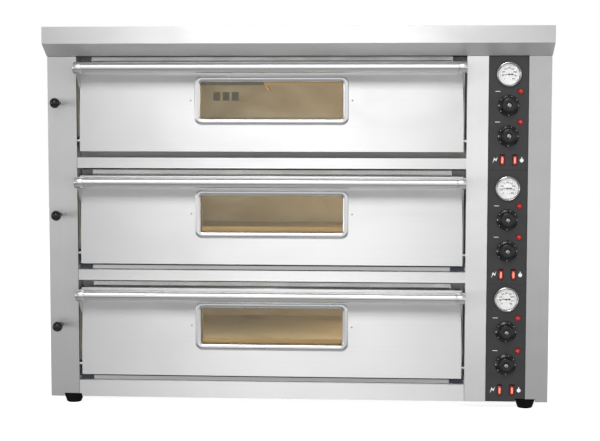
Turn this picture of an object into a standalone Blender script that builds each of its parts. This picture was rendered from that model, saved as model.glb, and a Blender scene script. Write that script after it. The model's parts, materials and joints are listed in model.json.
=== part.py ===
"""Three-deck electric pizza oven: folded sheet-steel body, three baking decks and their controls.

Metres, +Z up. The oven faces -Y, stands on z = 0, and x = 0 is the middle of its body.
Heights named *_RISE are measured from the lower edge of the body or, on a door, of that door.
A group named *_RISES that holds three heights gives one for each deck, from the top deck down.
"""

import math

import bmesh
import bpy
from mathutils import Matrix, Vector

# Stock and clearances
SHEET = 0.0015
HEAVY_SHEET = 0.003
GAP = 0.0005
TOUCH_GAP = 0.0003
CUT_MARGIN = 0.01
CUT_DEPTH = 2 * CUT_MARGIN

# Body
BODY_WIDTH = 1.230
BODY_DEPTH = 0.800
BODY_HEIGHT = 0.8436
FOOT_HEIGHT = 0.025
FOOT_TOP_RADIUS = 0.0255
FOOT_BOTTOM_RADIUS = 0.018
FOOT_RIM = 0.003
FOOT_INSET = 0.052
FRONT_FOOT_INSET = 0.0275
SKIRT_DROP = 0.007
FRONT_REACH = 0.0525
GLAND_REACH = 0.025
REAR_RETURN = 0.020
TRAY_WALL = 0.025
HALF_WIDTH = BODY_WIDTH / 2
BODY_BOTTOM = FOOT_HEIGHT - SKIRT_DROP
BODY_TOP = BODY_BOTTOM + BODY_HEIGHT
FRONT_Y = FRONT_REACH - (BODY_DEPTH + FRONT_REACH + GLAND_REACH) / 2
BACK_Y = FRONT_Y + BODY_DEPTH

# Front openings, from left to right
COLUMN_WIDTH = 0.0718
DOORWAY_LEFT = -HALF_WIDTH + COLUMN_WIDTH
DOORWAY_WIDTH = 0.9554
DOORWAY_RIGHT = DOORWAY_LEFT + DOORWAY_WIDTH
STRIP_WIDTH = 0.0518
PANEL_LEFT = DOORWAY_RIGHT + STRIP_WIDTH
PANEL_WIDTH = 0.0967
PANEL_RIGHT = PANEL_LEFT + PANEL_WIDTH
DOORWAY_MIDDLE = (DOORWAY_LEFT + DOORWAY_RIGHT) / 2
RETURN_DEPTH = 0.045
PANEL_RECESS = 0.003
PANEL_SHEET = 0.002
PANEL_RETURN = 0.022

# Hood
HOOD_REACH = 0.048
HOOD_RISE = 0.913
HOOD_FASCIA = 0.041
HOOD_OVERHANG = 0.0012

# Decks
DECKS = ("top", "middle", "bottom")
DECK_PITCH = 0.27785
TOP_DOOR_RISE = 0.6115
RAIL_HEIGHT = 0.0265
RAIL_DROP = 0.0149
BASE_RAIL_HEIGHT = 0.0409

# Door
DOOR_SIDE_GAP = 0.0075
DOOR_HEIGHT = 0.218
DOOR_DEPTH = 0.034
DOOR_WIDTH = DOORWAY_WIDTH - 2 * DOOR_SIDE_GAP
DOOR_LEFT = DOORWAY_LEFT + DOOR_SIDE_GAP
DOOR_RIGHT = DOOR_LEFT + DOOR_WIDTH
LINER_DEPTH = 0.020
LINER_SHEET = 0.002
LINER_SETBACK = 0.001
HINGE_RISE = 0.026
HINGE_SETBACK = 0.007
PIN_RADIUS = 0.004
PIN_HOLE_RADIUS = 0.0046
PIN_LENGTH = 0.016
HANDLE_RISE = 0.203
HANDLE_REACH = 0.037
HANDLE_RADIUS = 0.0125
HANDLE_WALL = 0.002
HANDLE_OVERHANG = 0.006
CAP_RADIUS = 0.014
CAP_LENGTH = 0.022
CAP_CHAMFER = 0.002
CAP_STEP = 0.001
CAP_SCREW_RADIUS = 0.0025
CHEEK_THICKNESS = 0.003
CHEEK_DROP = 0.052
CHEEK_NOSE = 0.004

# Window
WINDOW_RISE = 0.125
WINDOW_SHIFT = 0.0034
WINDOW_MIDDLE = DOORWAY_MIDDLE + WINDOW_SHIFT
BEZEL_SIZE = (0.377, 0.117)
BEZEL_CORNER = 0.016
BEZEL_THICKNESS = 0.005
SIGHT_SIZE = (0.349, 0.090)
SIGHT_CORNER = 0.006
APERTURE_MARGIN = 0.003
GLASS_MARGIN = 0.009
GLASS_THICKNESS = 0.004

# Baking chamber; rises are measured from the lower edge of its door
CHAMBER_WIDTH = 0.910
CHAMBER_DEPTH = 0.600
CHAMBER_FLOOR_RISE = 0.020
CHAMBER_HEIGHT = 0.180
FLANGE_SETBACK = 0.050
FLANGE_SIDE_GAP = 0.002
FLANGE_RISE = (-0.025, 0.232)
LIP_SETBACK = 0.022
LIP_RISE = 0.2225
LIP_POCKET = 0.034
LEDGE_WIDTH = 0.012
LEDGE_THICKNESS = 0.004
LEDGE_SETBACK = 0.010
STONE_SIZE = (0.900, 0.590)
STONE_THICKNESS = 0.015
STONE_RISE = 0.042
ELEMENT_RADIUS = 0.004
ELEMENT_LEGS = 6
ELEMENT_SPAN = (0.860, 0.500)
ELEMENT_RISES = {"lower": 0.029, "upper": 0.190}
ELEMENT_TAIL = 0.035

# Steam damper
DAMPER_INSET = 0.0274
DAMPER_RISES = (0.118, 0.121, 0.125)
BALL_RADIUS = 0.0125
BALL_REACH = FRONT_REACH - BALL_RADIUS
ROD_RADIUS = 0.004
FERRULE_RADIUS = 0.0065
FERRULE_SETBACK = 0.013
FERRULE_LENGTH = 0.007
ROD_SETBACK = 0.150
ARM_SIZE = (0.004, 0.010)
BLADE_SIZE = 0.044
BLADE_THICKNESS = 0.002
VENT_SIZE = 0.034

# Controls; rises are measured from the lower edge of the deck's door
GAUGE_RISES = (0.1875, 0.1899, 0.1973)
KNOB_RISES = {"upper": (0.1128, 0.1137, 0.1172), "lower": (0.0389, 0.0374, 0.0364)}
SWITCH_RISES = (-0.0186, -0.0200, -0.0266)
PILOT_RISE = 0.034
PANEL_MIDDLE = (PANEL_LEFT + PANEL_RIGHT) / 2
SWITCH_OFFSETS = {"power": -0.0139, "light": 0.0163}
PILOT_OFFSET = 0.0286
PILOT_HOLE_RADIUS = 0.0055
SEAM_RISE = 0.2345
SEAM_SIZE = 0.0008
GAUGE_RADIUS = 0.030
GAUGE_BODY_RADIUS = 0.025
GAUGE_BODY_DEPTH = 0.024
GAUGE_REACH = 0.0085
DIAL_RADIUS = 0.0255
DIAL_REACH = 0.003
NEEDLE_TIP = 0.0205
NEEDLE_TAIL = 0.010
NEEDLE_HALF_WIDTH = 0.0022
NEEDLE_THICKNESS = 0.0006
NEEDLE_REACH = 0.0042
NEEDLE_HUB_RADIUS = 0.0022
KNOB_SKIRT_RADIUS = 0.026
KNOB_SKIRT_HEIGHT = 0.004
KNOB_CAP_RADIUS = 0.0185
KNOB_HEIGHT = 0.024
KNOB_REACH = 0.001
SHAFT_RADIUS = 0.003
SHAFT_HOLE_RADIUS = 0.0038
SHAFT_DEPTH = 0.020
ROCKER_SIZE = (0.0105, 0.024)
ROCKER_THROW = math.radians(16)
ROCKER_SETBACK = 0.002
ROCKER_ROOT = 0.003
ROCKER_END_REACH = 0.0055
ROCKER_DISH_REACH = 0.0042

# Back and cooling slots
GLAND_PLACE = (0.520, 0.100)
GLAND_HOLE_RADIUS = 0.0105
GLAND_BORE_RADIUS = 0.006
GLAND_THREAD_RADIUS = 0.010
GLAND_THREAD_DEPTH = 0.016
GLAND_DOME_RADIUS = 0.014
GLAND_DOME_SHOULDER = 0.018
GLAND_NUT_RADIUS = 0.017
GLAND_NUT_HEIGHT = 0.004
LOCKNUT_RADIUS = 0.0145
LOCKNUT_DEPTHS = (0.004, 0.009)
SLOT_SIZE = (0.060, 0.004)
SLOT_PITCH = 0.014
SIDE_SLOTS = 6
SIDE_SLOT_SETBACKS = (0.12, 0.22)
BACK_SLOTS = 7
BACK_SLOT_OFFSET = 0.42
BACK_SLOT_RISES = (0.25, 0.65)
BACK_PANEL_MARGIN = 0.002

ROUND = 20
FACING_FRONT = (math.pi / 2, 0, 0)
FACING_BACK = (-math.pi / 2, 0, 0)
FACING_RIGHT = (0, math.pi / 2, 0)
UPRIGHT = (0, 0, 0)


def clear_scene():
    for obj in list(bpy.data.objects):
        bpy.data.objects.remove(obj, do_unlink=True)


clear_scene()
OVEN = bpy.data.collections.new("deck_oven")
CUTTERS = bpy.data.collections.new("cutters")
for group in (OVEN, CUTTERS):
    bpy.context.scene.collection.children.link(group)


def finish_of(name, colour, roughness, metallic):
    material = bpy.data.materials.new(name)
    material.use_nodes = True
    shader = material.node_tree.nodes["Principled BSDF"]
    shader.inputs["Base Color"].default_value = (*colour, 1)
    shader.inputs["Roughness"].default_value = roughness
    shader.inputs["Metallic"].default_value = metallic
    return material


FINISHES = {
    "brushed": finish_of("brushed_stainless", (0.66, 0.66, 0.65), 0.34, 1.0),
    "polished": finish_of("polished_stainless", (0.78, 0.78, 0.78), 0.16, 1.0),
    "chamber": finish_of("chamber_steel", (0.44, 0.42, 0.38), 0.5, 1.0),
    "element": finish_of("element_sheath", (0.16, 0.15, 0.14), 0.55, 1.0),
    "stone": finish_of("refractory_stone", (0.62, 0.53, 0.40), 0.9, 0.0),
    "glass": finish_of("door_glass", (0.52, 0.46, 0.34), 0.06, 0.0),
    "panel": finish_of("control_panel_film", (0.045, 0.045, 0.05), 0.45, 0.0),
    "black": finish_of("black_phenolic", (0.018, 0.018, 0.018), 0.3, 0.0),
    "chrome": finish_of("chrome", (0.82, 0.82, 0.83), 0.08, 1.0),
    "needle": finish_of("needle_black", (0.02, 0.02, 0.02), 0.5, 0.0),
    "lens": finish_of("red_lens", (0.75, 0.05, 0.02), 0.25, 0.0),
    "rubber": finish_of("foot_rubber", (0.02, 0.02, 0.02), 0.75, 0.0),
    "galvanised": finish_of("galvanised_sheet", (0.55, 0.56, 0.57), 0.45, 1.0),
}


# --- Shapes ---------------------------------------------------------------


def place(name, mesh, collection, location=(0, 0, 0), rotation=UPRIGHT):
    obj = bpy.data.objects.new(name, mesh)
    obj.location = location
    obj.rotation_euler = rotation
    collection.objects.link(obj)
    if collection is CUTTERS:
        obj.hide_render = True
        obj.display_type = "WIRE"
    return obj


def mesh_from(name, bm):
    mesh = bpy.data.meshes.new(name)
    bmesh.ops.recalc_face_normals(bm, faces=bm.faces)
    bm.to_mesh(mesh)
    bm.free()
    return mesh


def add_box(bm, low, high):
    low, high = Vector(low), Vector(high)
    size = Matrix.Diagonal((high - low).to_4d())
    bmesh.ops.create_cube(bm, size=1, matrix=Matrix.Translation((low + high) / 2) @ size)


def add_cylinder(bm, centre, radius, length, rotation, segments=ROUND):
    turn = Matrix.Translation(centre)
    for axis, angle in zip("XYZ", rotation):
        turn = turn @ Matrix.Rotation(angle, 4, axis)
    bmesh.ops.create_cone(
        bm, cap_ends=True, segments=segments, radius1=radius, radius2=radius, depth=length, matrix=turn
    )


def box(name, low, high, collection=OVEN):
    centre = (Vector(low) + Vector(high)) / 2
    bm = bmesh.new()
    add_box(bm, Vector(low) - centre, Vector(high) - centre)
    return place(name, mesh_from(name, bm), collection, centre)


def thicken(obj, thickness=SHEET):
    """Gives an open surface its sheet, on the inner side of its faces."""
    sheet = obj.modifiers.new("sheet", "SOLIDIFY")
    sheet.thickness = thickness
    sheet.offset = -1
    sheet.use_even_offset = True


def open_box(name, low, high, mouth, thickness=SHEET, collection=OVEN):
    """A sheet box without the walls that face the mouth's directions."""
    obj = box(name, low, high, collection)
    bm = bmesh.new()
    bm.from_mesh(obj.data)
    away = [face for face in bm.faces if any(face.normal.dot(Vector(side)) > 0.9 for side in mouth)]
    bmesh.ops.delete(bm, geom=away, context="FACES")
    bm.to_mesh(obj.data)
    bm.free()
    thicken(obj, thickness)
    return obj


def folded_sheet(name, profile, travel, thickness=SHEET, collection=OVEN):
    """A strip bent along the profile and as long as travel, with its sheet behind its faces."""
    bm = bmesh.new()
    near = [bm.verts.new(point) for point in profile]
    far = [bm.verts.new(Vector(point) + Vector(travel)) for point in profile]
    for i in range(len(profile) - 1):
        bm.faces.new((near[i], near[i + 1], far[i + 1], far[i]))
    mesh = bpy.data.meshes.new(name)
    bm.to_mesh(mesh)
    bm.free()
    obj = place(name, mesh, collection)
    thicken(obj, thickness)
    return obj


def turned(name, profile, location, rotation, collection=OVEN, steps=ROUND, ring=False):
    """Turns (radius, height) points about the piece's own Z; a ring's profile is a closed loop."""
    mesh = bpy.data.meshes.new(name)
    edges = [(i, i + 1) for i in range(len(profile) - 1)]
    if ring:
        edges.append((len(profile) - 1, 0))
    mesh.from_pydata([(radius, 0, height) for radius, height in profile], edges, [])
    obj = place(name, mesh, collection, location, rotation)
    screw = obj.modifiers.new("turning", "SCREW")
    screw.steps = screw.render_steps = steps
    screw.use_merge_vertices = True
    screw.merge_threshold = 0.00001
    screw.use_smooth_shade = True
    return obj


def mesh_of_curve(obj):
    """Turns a curve object into a mesh object that a Boolean can use."""
    bpy.context.view_layer.update()
    graph = bpy.context.evaluated_depsgraph_get()
    mesh = bpy.data.meshes.new_from_object(obj.evaluated_get(graph))
    bm = bmesh.new()
    bm.from_mesh(mesh)
    bmesh.ops.remove_doubles(bm, verts=bm.verts, dist=0.00001)
    bm.to_mesh(mesh)
    bm.free()
    name, group = obj.name, obj.users_collection[0]
    location, rotation, curve = obj.location.copy(), obj.rotation_euler.copy(), obj.data
    bpy.data.objects.remove(obj, do_unlink=True)
    bpy.data.curves.remove(curve)
    return place(name, mesh, group, location, rotation)


def flat_plate(name, outlines, thickness, location, rotation, collection=OVEN):
    """A plate with the first outline as its edge and the others as its holes."""
    curve = bpy.data.curves.new(name, "CURVE")
    curve.dimensions = "2D"
    curve.fill_mode = "BOTH"
    curve.extrude = thickness / 2
    for outline in outlines:
        spline = curve.splines.new("POLY")
        spline.points.add(len(outline) - 1)
        for point, (x, y) in zip(spline.points, outline):
            point.co = (x, y, 0, 1)
        spline.use_cyclic_u = True
    return mesh_of_curve(place(name, curve, collection, location, rotation))


def arc(centre, radius, start, end, steps):
    angles = [math.radians(start + (end - start) * i / steps) for i in range(steps + 1)]
    return [(centre[0] + radius * math.cos(a), centre[1] + radius * math.sin(a)) for a in angles]


def rounded_outline(size, corner, steps=4):
    points = []
    for quarter, (sx, sy) in enumerate(((1, 1), (-1, 1), (-1, -1), (1, -1))):
        centre = (sx * (size[0] / 2 - corner), sy * (size[1] / 2 - corner))
        points += arc(centre, corner, 90 * quarter, 90 * quarter + 90, steps)
    return points


def boolean(obj, other, operation):
    step = obj.modifiers.new(other.name, "BOOLEAN")
    step.operation = operation
    step.object = other
    step.solver = "EXACT"


def cut(obj, other):
    boolean(obj, other, "DIFFERENCE")


def join(obj, other):
    boolean(obj, other, "UNION")


def cutter_from(name, bm):
    return place(name, mesh_from(name, bm), CUTTERS)


def paint(obj, finish):
    obj.data.materials.clear()
    obj.data.materials.append(FINISHES[finish])
    return obj


def pivot(name, location):
    empty = bpy.data.objects.new(name, None)
    empty.empty_display_size = 0.03
    empty.location = location
    OVEN.objects.link(empty)
    return empty


def hang_on(empty, *pieces):
    """Parents pieces that are placed in world space to an unrotated empty."""
    for piece in pieces:
        piece.parent = empty
        piece.matrix_parent_inverse = Matrix.Translation(-empty.location)


# --- Places shared by several pieces ----------------------------------------


def deck_base(deck):
    """Height of the lower edge of a deck's door; deck 0 is the top one."""
    return BODY_BOTTOM + TOP_DOOR_RISE - deck * DECK_PITCH


def hinge_centre(deck, x=DOORWAY_MIDDLE):
    return Vector((x, FRONT_Y + HINGE_SETBACK, deck_base(deck) + HINGE_RISE))


def damper_centre(deck):
    return Vector((-HALF_WIDTH + DAMPER_INSET, FRONT_Y, deck_base(deck) + DAMPER_RISES[deck]))


def foot_places():
    x = HALF_WIDTH - FOOT_INSET
    return {
        "front_left_foot": (-x, FRONT_Y + FRONT_FOOT_INSET),
        "front_right_foot": (x, FRONT_Y + FRONT_FOOT_INSET),
        "rear_left_foot": (-x, BACK_Y - FOOT_INSET),
        "rear_right_foot": (x, BACK_Y - FOOT_INSET),
    }


def add_foot_notches(bm, top=FOOT_HEIGHT + GAP):
    """Room at the front for the two front feet, which stand up into the lower edge."""
    for name in ("front_left_foot", "front_right_foot"):
        x, y = foot_places()[name]
        reach = FOOT_TOP_RADIUS + GAP
        add_box(bm, (x - reach, FRONT_Y - CUT_MARGIN, 0), (x + reach, y + reach, top))


def add_pin_holes(bm, x):
    for deck in range(len(DECKS)):
        add_cylinder(bm, hinge_centre(deck, x), PIN_HOLE_RADIUS, CUT_MARGIN, FACING_RIGHT)


def add_slots(bm, middle, count, along, through):
    """A column of ventilation slots; along is the slot's long side, through its way through the sheet."""
    length = Vector(along) * SLOT_SIZE[0] / 2
    half = Vector([abs(a) + abs(b) * CUT_MARGIN for a, b in zip(length, through)])
    half.z = SLOT_SIZE[1] / 2
    for i in range(count):
        centre = Vector(middle) + Vector((0, 0, SLOT_PITCH * (i - (count - 1) / 2)))
        add_box(bm, centre - half, centre + half)


# --- Body -------------------------------------------------------------------


def build_left_casing():
    """Side panel, folded round the front as the left column."""
    rear = BACK_Y - SHEET - GAP
    profile = [
        (-HALF_WIDTH + REAR_RETURN, rear, BODY_BOTTOM),
        (-HALF_WIDTH, rear, BODY_BOTTOM),
        (-HALF_WIDTH, FRONT_Y, BODY_BOTTOM),
        (DOORWAY_LEFT, FRONT_Y, BODY_BOTTOM),
        (DOORWAY_LEFT, FRONT_Y + RETURN_DEPTH, BODY_BOTTOM),
    ]
    casing = folded_sheet("left_casing", profile, (0, 0, BODY_HEIGHT))
    bm = bmesh.new()
    add_foot_notches(bm)
    add_pin_holes(bm, DOORWAY_LEFT)
    for deck in range(len(DECKS)):
        add_cylinder(bm, damper_centre(deck), ROD_RADIUS + 2 * GAP, CUT_DEPTH, FACING_FRONT)
    cut(casing, cutter_from("left_casing_openings", bm))
    return paint(casing, "brushed")


def build_right_casing():
    """Side panel with cooling slots, folded round the front as the right column."""
    rear = BACK_Y - SHEET - GAP
    profile = [
        (PANEL_RIGHT, FRONT_Y + PANEL_RETURN, BODY_BOTTOM),
        (PANEL_RIGHT, FRONT_Y, BODY_BOTTOM),
        (HALF_WIDTH, FRONT_Y, BODY_BOTTOM),
        (HALF_WIDTH, rear, BODY_BOTTOM),
        (HALF_WIDTH - REAR_RETURN, rear, BODY_BOTTOM),
    ]
    casing = folded_sheet("right_casing", profile, (0, 0, BODY_HEIGHT))
    bm = bmesh.new()
    add_foot_notches(bm)
    for deck in range(len(DECKS)):
        for setback in SIDE_SLOT_SETBACKS:
            middle = (HALF_WIDTH, FRONT_Y + setback, deck_base(deck) + WINDOW_RISE)
            add_slots(bm, middle, SIDE_SLOTS, (0, 1, 0), (1, 0, 0))
    cut(casing, cutter_from("right_casing_openings", bm))
    return paint(casing, "brushed")


def rail_channel(name, low, high, left, right, thickness, collection):
    """A front rail between two heights: an outer face with a top and a bottom return."""
    back = FRONT_Y + RETURN_DEPTH
    profile = [(left, back, low), (left, FRONT_Y, low), (left, FRONT_Y, high), (left, back, high)]
    return folded_sheet(name, profile[::-1], (right - left, 0, 0), thickness, collection)


def build_front_frame():
    """Upright beside the controls and the two rails between the decks, welded into one frame."""
    back = FRONT_Y + RETURN_DEPTH
    profile = [
        (DOORWAY_RIGHT, back, BODY_BOTTOM),
        (DOORWAY_RIGHT, FRONT_Y, BODY_BOTTOM),
        (PANEL_LEFT, FRONT_Y, BODY_BOTTOM),
        (PANEL_LEFT, FRONT_Y + PANEL_RETURN, BODY_BOTTOM),
    ]
    frame = folded_sheet("front_frame", profile, (0, 0, BODY_HEIGHT))
    for deck, name in enumerate(DECKS[:-1]):
        top = deck_base(deck) - RAIL_DROP
        ends = (DOORWAY_LEFT + GAP, DOORWAY_RIGHT + SHEET / 2)
        rail = rail_channel(f"{name}_divider_rail", top - RAIL_HEIGHT, top, *ends, SHEET, CUTTERS)
        join(frame, rail)
    bm = bmesh.new()
    add_pin_holes(bm, DOORWAY_RIGHT)
    cut(frame, cutter_from("front_frame_openings", bm))
    return paint(frame, "brushed")


def build_base_tray():
    """Floor pan that carries the feet, with the lowest front rail."""
    side = HALF_WIDTH - SHEET - GAP
    low = (-side, FRONT_Y + SHEET + GAP, FOOT_HEIGHT)
    high = (side, BACK_Y - 2 * SHEET - 2 * GAP, FOOT_HEIGHT + TRAY_WALL)
    tray = open_box("base_tray", low, high, ((0, 0, 1), (0, -1, 0)))
    ends = (DOORWAY_LEFT + GAP, DOORWAY_RIGHT - GAP)
    top = BODY_BOTTOM + BASE_RAIL_HEIGHT
    join(tray, rail_channel("base_rail", BODY_BOTTOM, top, *ends, HEAVY_SHEET, CUTTERS))
    uprights = bmesh.new()
    behind = FRONT_Y + RETURN_DEPTH + 2 * GAP
    slots = ((DOORWAY_RIGHT - GAP, PANEL_RIGHT + SHEET + GAP), (DOORWAY_LEFT - SHEET - GAP, DOORWAY_LEFT + GAP))
    for left, right in slots:
        add_box(uprights, (left, FRONT_Y - CUT_MARGIN, 0), (right, behind, FOOT_HEIGHT + 2 * TRAY_WALL))
    cut(tray, cutter_from("base_tray_upright_slots", uprights))
    notches = bmesh.new()
    add_foot_notches(notches, FOOT_HEIGHT)
    cut(tray, cutter_from("base_tray_foot_notches", notches))
    return paint(tray, "brushed")


def build_back_panel():
    """Flat rear sheet with cooling slots and the cable entry."""
    side = HALF_WIDTH - BACK_PANEL_MARGIN
    low = (-side, BACK_Y - SHEET, BODY_BOTTOM + 2 * BACK_PANEL_MARGIN)
    panel = box("back_panel", low, (side, BACK_Y, BODY_TOP - BACK_PANEL_MARGIN))
    bm = bmesh.new()
    x, rise = GLAND_PLACE
    add_cylinder(bm, (x, BACK_Y, BODY_BOTTOM + rise), GLAND_HOLE_RADIUS, CUT_DEPTH, FACING_BACK)
    for x in (-BACK_SLOT_OFFSET, BACK_SLOT_OFFSET):
        for rise in BACK_SLOT_RISES:
            add_slots(bm, (x, BACK_Y, BODY_BOTTOM + rise), BACK_SLOTS, (1, 0, 0), (0, 1, 0))
    cut(panel, cutter_from("back_panel_openings", bm))
    return paint(panel, "galvanised")


def build_top_hood():
    """Cover with a fascia that stands out over the doors and slopes back under to the columns."""
    side = HALF_WIDTH + HOOD_OVERHANG
    bottom = BODY_TOP + TOUCH_GAP
    top = BODY_BOTTOM + HOOD_RISE
    outline = [
        (FRONT_Y, bottom),
        (FRONT_Y - HOOD_REACH, top - HOOD_FASCIA),
        (FRONT_Y - HOOD_REACH, top),
        (BACK_Y, top),
        (BACK_Y, bottom),
    ]
    bm = bmesh.new()
    end = bm.faces.new([bm.verts.new((-side, y, z)) for y, z in outline])
    grown = bmesh.ops.extrude_face_region(bm, geom=[end])["geom"]
    far_end = [part for part in grown if isinstance(part, bmesh.types.BMVert)]
    bmesh.ops.translate(bm, verts=far_end, vec=(2 * side, 0, 0))
    bmesh.ops.recalc_face_normals(bm, faces=bm.faces)
    underside = [face for face in bm.faces if face.normal.z < -0.9]
    bmesh.ops.delete(bm, geom=underside, context="FACES")
    mesh = bpy.data.meshes.new("top_hood")
    bm.to_mesh(mesh)
    bm.free()
    hood = place("top_hood", mesh, OVEN)
    thicken(hood)
    return paint(hood, "brushed")


def build_feet():
    for name, (x, y) in foot_places().items():
        profile = [
            (0, FOOT_HEIGHT - TOUCH_GAP),
            (FOOT_TOP_RADIUS, FOOT_HEIGHT - TOUCH_GAP),
            (FOOT_TOP_RADIUS, FOOT_HEIGHT - FOOT_RIM),
            (FOOT_BOTTOM_RADIUS, 0),
            (0, 0),
        ]
        paint(turned(name, profile, (x, y, 0), UPRIGHT), "rubber")


def build_cable_gland():
    """Compression gland in the back panel: nut outside, thread and locknut inside."""
    x, rise = GLAND_PLACE
    locknut_top, locknut_bottom = LOCKNUT_DEPTHS
    profile = [
        (GLAND_BORE_RADIUS, GLAND_REACH),
        (GLAND_THREAD_RADIUS, GLAND_REACH),
        (GLAND_DOME_RADIUS, GLAND_DOME_SHOULDER),
        (GLAND_DOME_RADIUS, GLAND_NUT_HEIGHT),
        (GLAND_NUT_RADIUS, GLAND_NUT_HEIGHT),
        (GLAND_NUT_RADIUS, TOUCH_GAP),
        (GLAND_THREAD_RADIUS, TOUCH_GAP),
        (GLAND_THREAD_RADIUS, -locknut_top),
        (LOCKNUT_RADIUS, -locknut_top),
        (LOCKNUT_RADIUS, -locknut_bottom),
        (GLAND_THREAD_RADIUS, -locknut_bottom),
        (GLAND_THREAD_RADIUS, -GLAND_THREAD_DEPTH),
        (GLAND_BORE_RADIUS, -GLAND_THREAD_DEPTH),
    ]
    where = (x, BACK_Y, BODY_BOTTOM + rise)
    gland = turned("cable_gland", profile, where, FACING_BACK, steps=12, ring=True)
    return paint(gland, "black")


# --- Decks ------------------------------------------------------------------


def build_chamber(deck, name):
    """Muffle with its front flange, top lip, stone ledges, steam vent and element holes."""
    base = deck_base(deck)
    left = DOORWAY_MIDDLE - CHAMBER_WIDTH / 2
    right = left + CHAMBER_WIDTH
    front = FRONT_Y + FLANGE_SETBACK
    floor = base + CHAMBER_FLOOR_RISE
    roof = floor + CHAMBER_HEIGHT
    back = front + CHAMBER_DEPTH
    low = (left - SHEET, front - SHEET / 2, floor - SHEET)
    high = (right + SHEET, back + SHEET, roof + SHEET)
    chamber = open_box(f"{name}_chamber", low, high, ((0, -1, 0),))
    flange_low = (DOORWAY_LEFT + FLANGE_SIDE_GAP, front - SHEET, base + FLANGE_RISE[0])
    flange_high = (DOORWAY_RIGHT - FLANGE_SIDE_GAP, front, base + FLANGE_RISE[1])
    flange = box(f"{name}_chamber_flange", flange_low, flange_high, CUTTERS)
    mouth_low = (left, front - CUT_MARGIN, floor)
    cut(flange, box(f"{name}_chamber_mouth", mouth_low, (right, front + CUT_MARGIN, roof), CUTTERS))
    join(chamber, flange)
    lip_left = DOORWAY_LEFT + LIP_POCKET
    lip = folded_sheet(
        f"{name}_chamber_lip",
        [
            (lip_left, FRONT_Y + LIP_SETBACK, flange_high[2] - TOUCH_GAP),
            (lip_left, FRONT_Y + LIP_SETBACK, base + LIP_RISE),
            (lip_left, front - SHEET / 2, base + LIP_RISE),
        ],
        (DOORWAY_WIDTH - 2 * LIP_POCKET, 0, 0),
        SHEET,
        CUTTERS,
    )
    join(chamber, lip)
    ledges = bmesh.new()
    ledge_top = base + STONE_RISE - TOUCH_GAP
    for start, end in ((left - SHEET / 2, left + LEDGE_WIDTH), (right - LEDGE_WIDTH, right + SHEET / 2)):
        low = (start, front + LEDGE_SETBACK, ledge_top - LEDGE_THICKNESS)
        add_box(ledges, low, (end, back - LEDGE_SETBACK, ledge_top))
    join(chamber, cutter_from(f"{name}_stone_ledges", ledges))
    holes = bmesh.new()
    vent = damper_centre(deck)
    half = VENT_SIZE / 2
    vent_y = FRONT_Y + ROD_SETBACK
    vent_low = (left - CUT_MARGIN, vent_y - half, vent.z - half)
    add_box(holes, vent_low, (left + CUT_MARGIN, vent_y + half, vent.z + half))
    for rise in ELEMENT_RISES.values():
        for y in element_leg_places()[0], element_leg_places()[-1]:
            hole = (right, y, base + rise)
            add_cylinder(holes, hole, ELEMENT_RADIUS + 2 * GAP, CUT_DEPTH, FACING_RIGHT, 16)
    cut(chamber, cutter_from(f"{name}_chamber_holes", holes))
    return paint(chamber, "chamber")


def build_stone(deck, name):
    width, depth = STONE_SIZE
    front = FRONT_Y + FLANGE_SETBACK + (CHAMBER_DEPTH - depth) / 2
    base = deck_base(deck) + STONE_RISE
    low = (DOORWAY_MIDDLE - width / 2, front, base)
    high = (DOORWAY_MIDDLE + width / 2, front + depth, base + STONE_THICKNESS)
    return paint(box(f"{name}_stone_floor", low, high), "stone")


def element_leg_places():
    """The y of each straight leg, front to back."""
    middle = FRONT_Y + FLANGE_SETBACK + CHAMBER_DEPTH / 2
    pitch = ELEMENT_SPAN[1] / (ELEMENT_LEGS - 1)
    return [middle + pitch * (i - (ELEMENT_LEGS - 1) / 2) for i in range(ELEMENT_LEGS)]


def element_route():
    """Points (x, y) of a serpentine whose two ends leave to the right."""
    legs = element_leg_places()
    bend = (legs[1] - legs[0]) / 2
    reach = ELEMENT_SPAN[0] / 2 - bend
    tail = CHAMBER_WIDTH / 2 + ELEMENT_TAIL
    points = [(DOORWAY_MIDDLE + tail, legs[0])]
    for i in range(ELEMENT_LEGS - 1):
        side = -1 if i % 2 == 0 else 1
        centre = (DOORWAY_MIDDLE + side * reach, legs[i] + bend)
        turn = arc(centre, bend, -90, 90, 4)
        points += [(centre[0] + side * (x - centre[0]), y) for x, y in turn]
    points.append((DOORWAY_MIDDLE + tail, legs[-1]))
    return points


def build_element(deck, name, level):
    curve = bpy.data.curves.new(f"{name}_{level}_element", "CURVE")
    curve.dimensions = "3D"
    curve.bevel_depth = ELEMENT_RADIUS
    curve.bevel_resolution = 2
    curve.use_fill_caps = True
    route = element_route()
    spline = curve.splines.new("POLY")
    spline.points.add(len(route) - 1)
    for point, (x, y) in zip(spline.points, route):
        point.co = (x, y, 0, 1)
    height = deck_base(deck) + ELEMENT_RISES[level]
    element = place(f"{name}_{level}_element", curve, OVEN, (0, 0, height))
    return paint(element, "element")


def door_plane(deck, rise, setback, x=DOORWAY_MIDDLE):
    return (x, FRONT_Y + setback, deck_base(deck) + rise)


def window_plane(deck, setback):
    return door_plane(deck, WINDOW_RISE, setback, WINDOW_MIDDLE)


def cheek_outline():
    """Side view of a handle bracket as (reach forwards, rise), from the door's face to the tube."""
    top = HANDLE_RISE + HANDLE_RADIUS
    return [
        (-SHEET / 2, HANDLE_RISE - CHEEK_DROP),
        (HANDLE_REACH + CHEEK_NOSE, HANDLE_RISE - CAP_RADIUS),
        (HANDLE_REACH, HANDLE_RISE),
        (HANDLE_REACH / 2, top),
        (-SHEET / 2, top),
    ]


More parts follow.
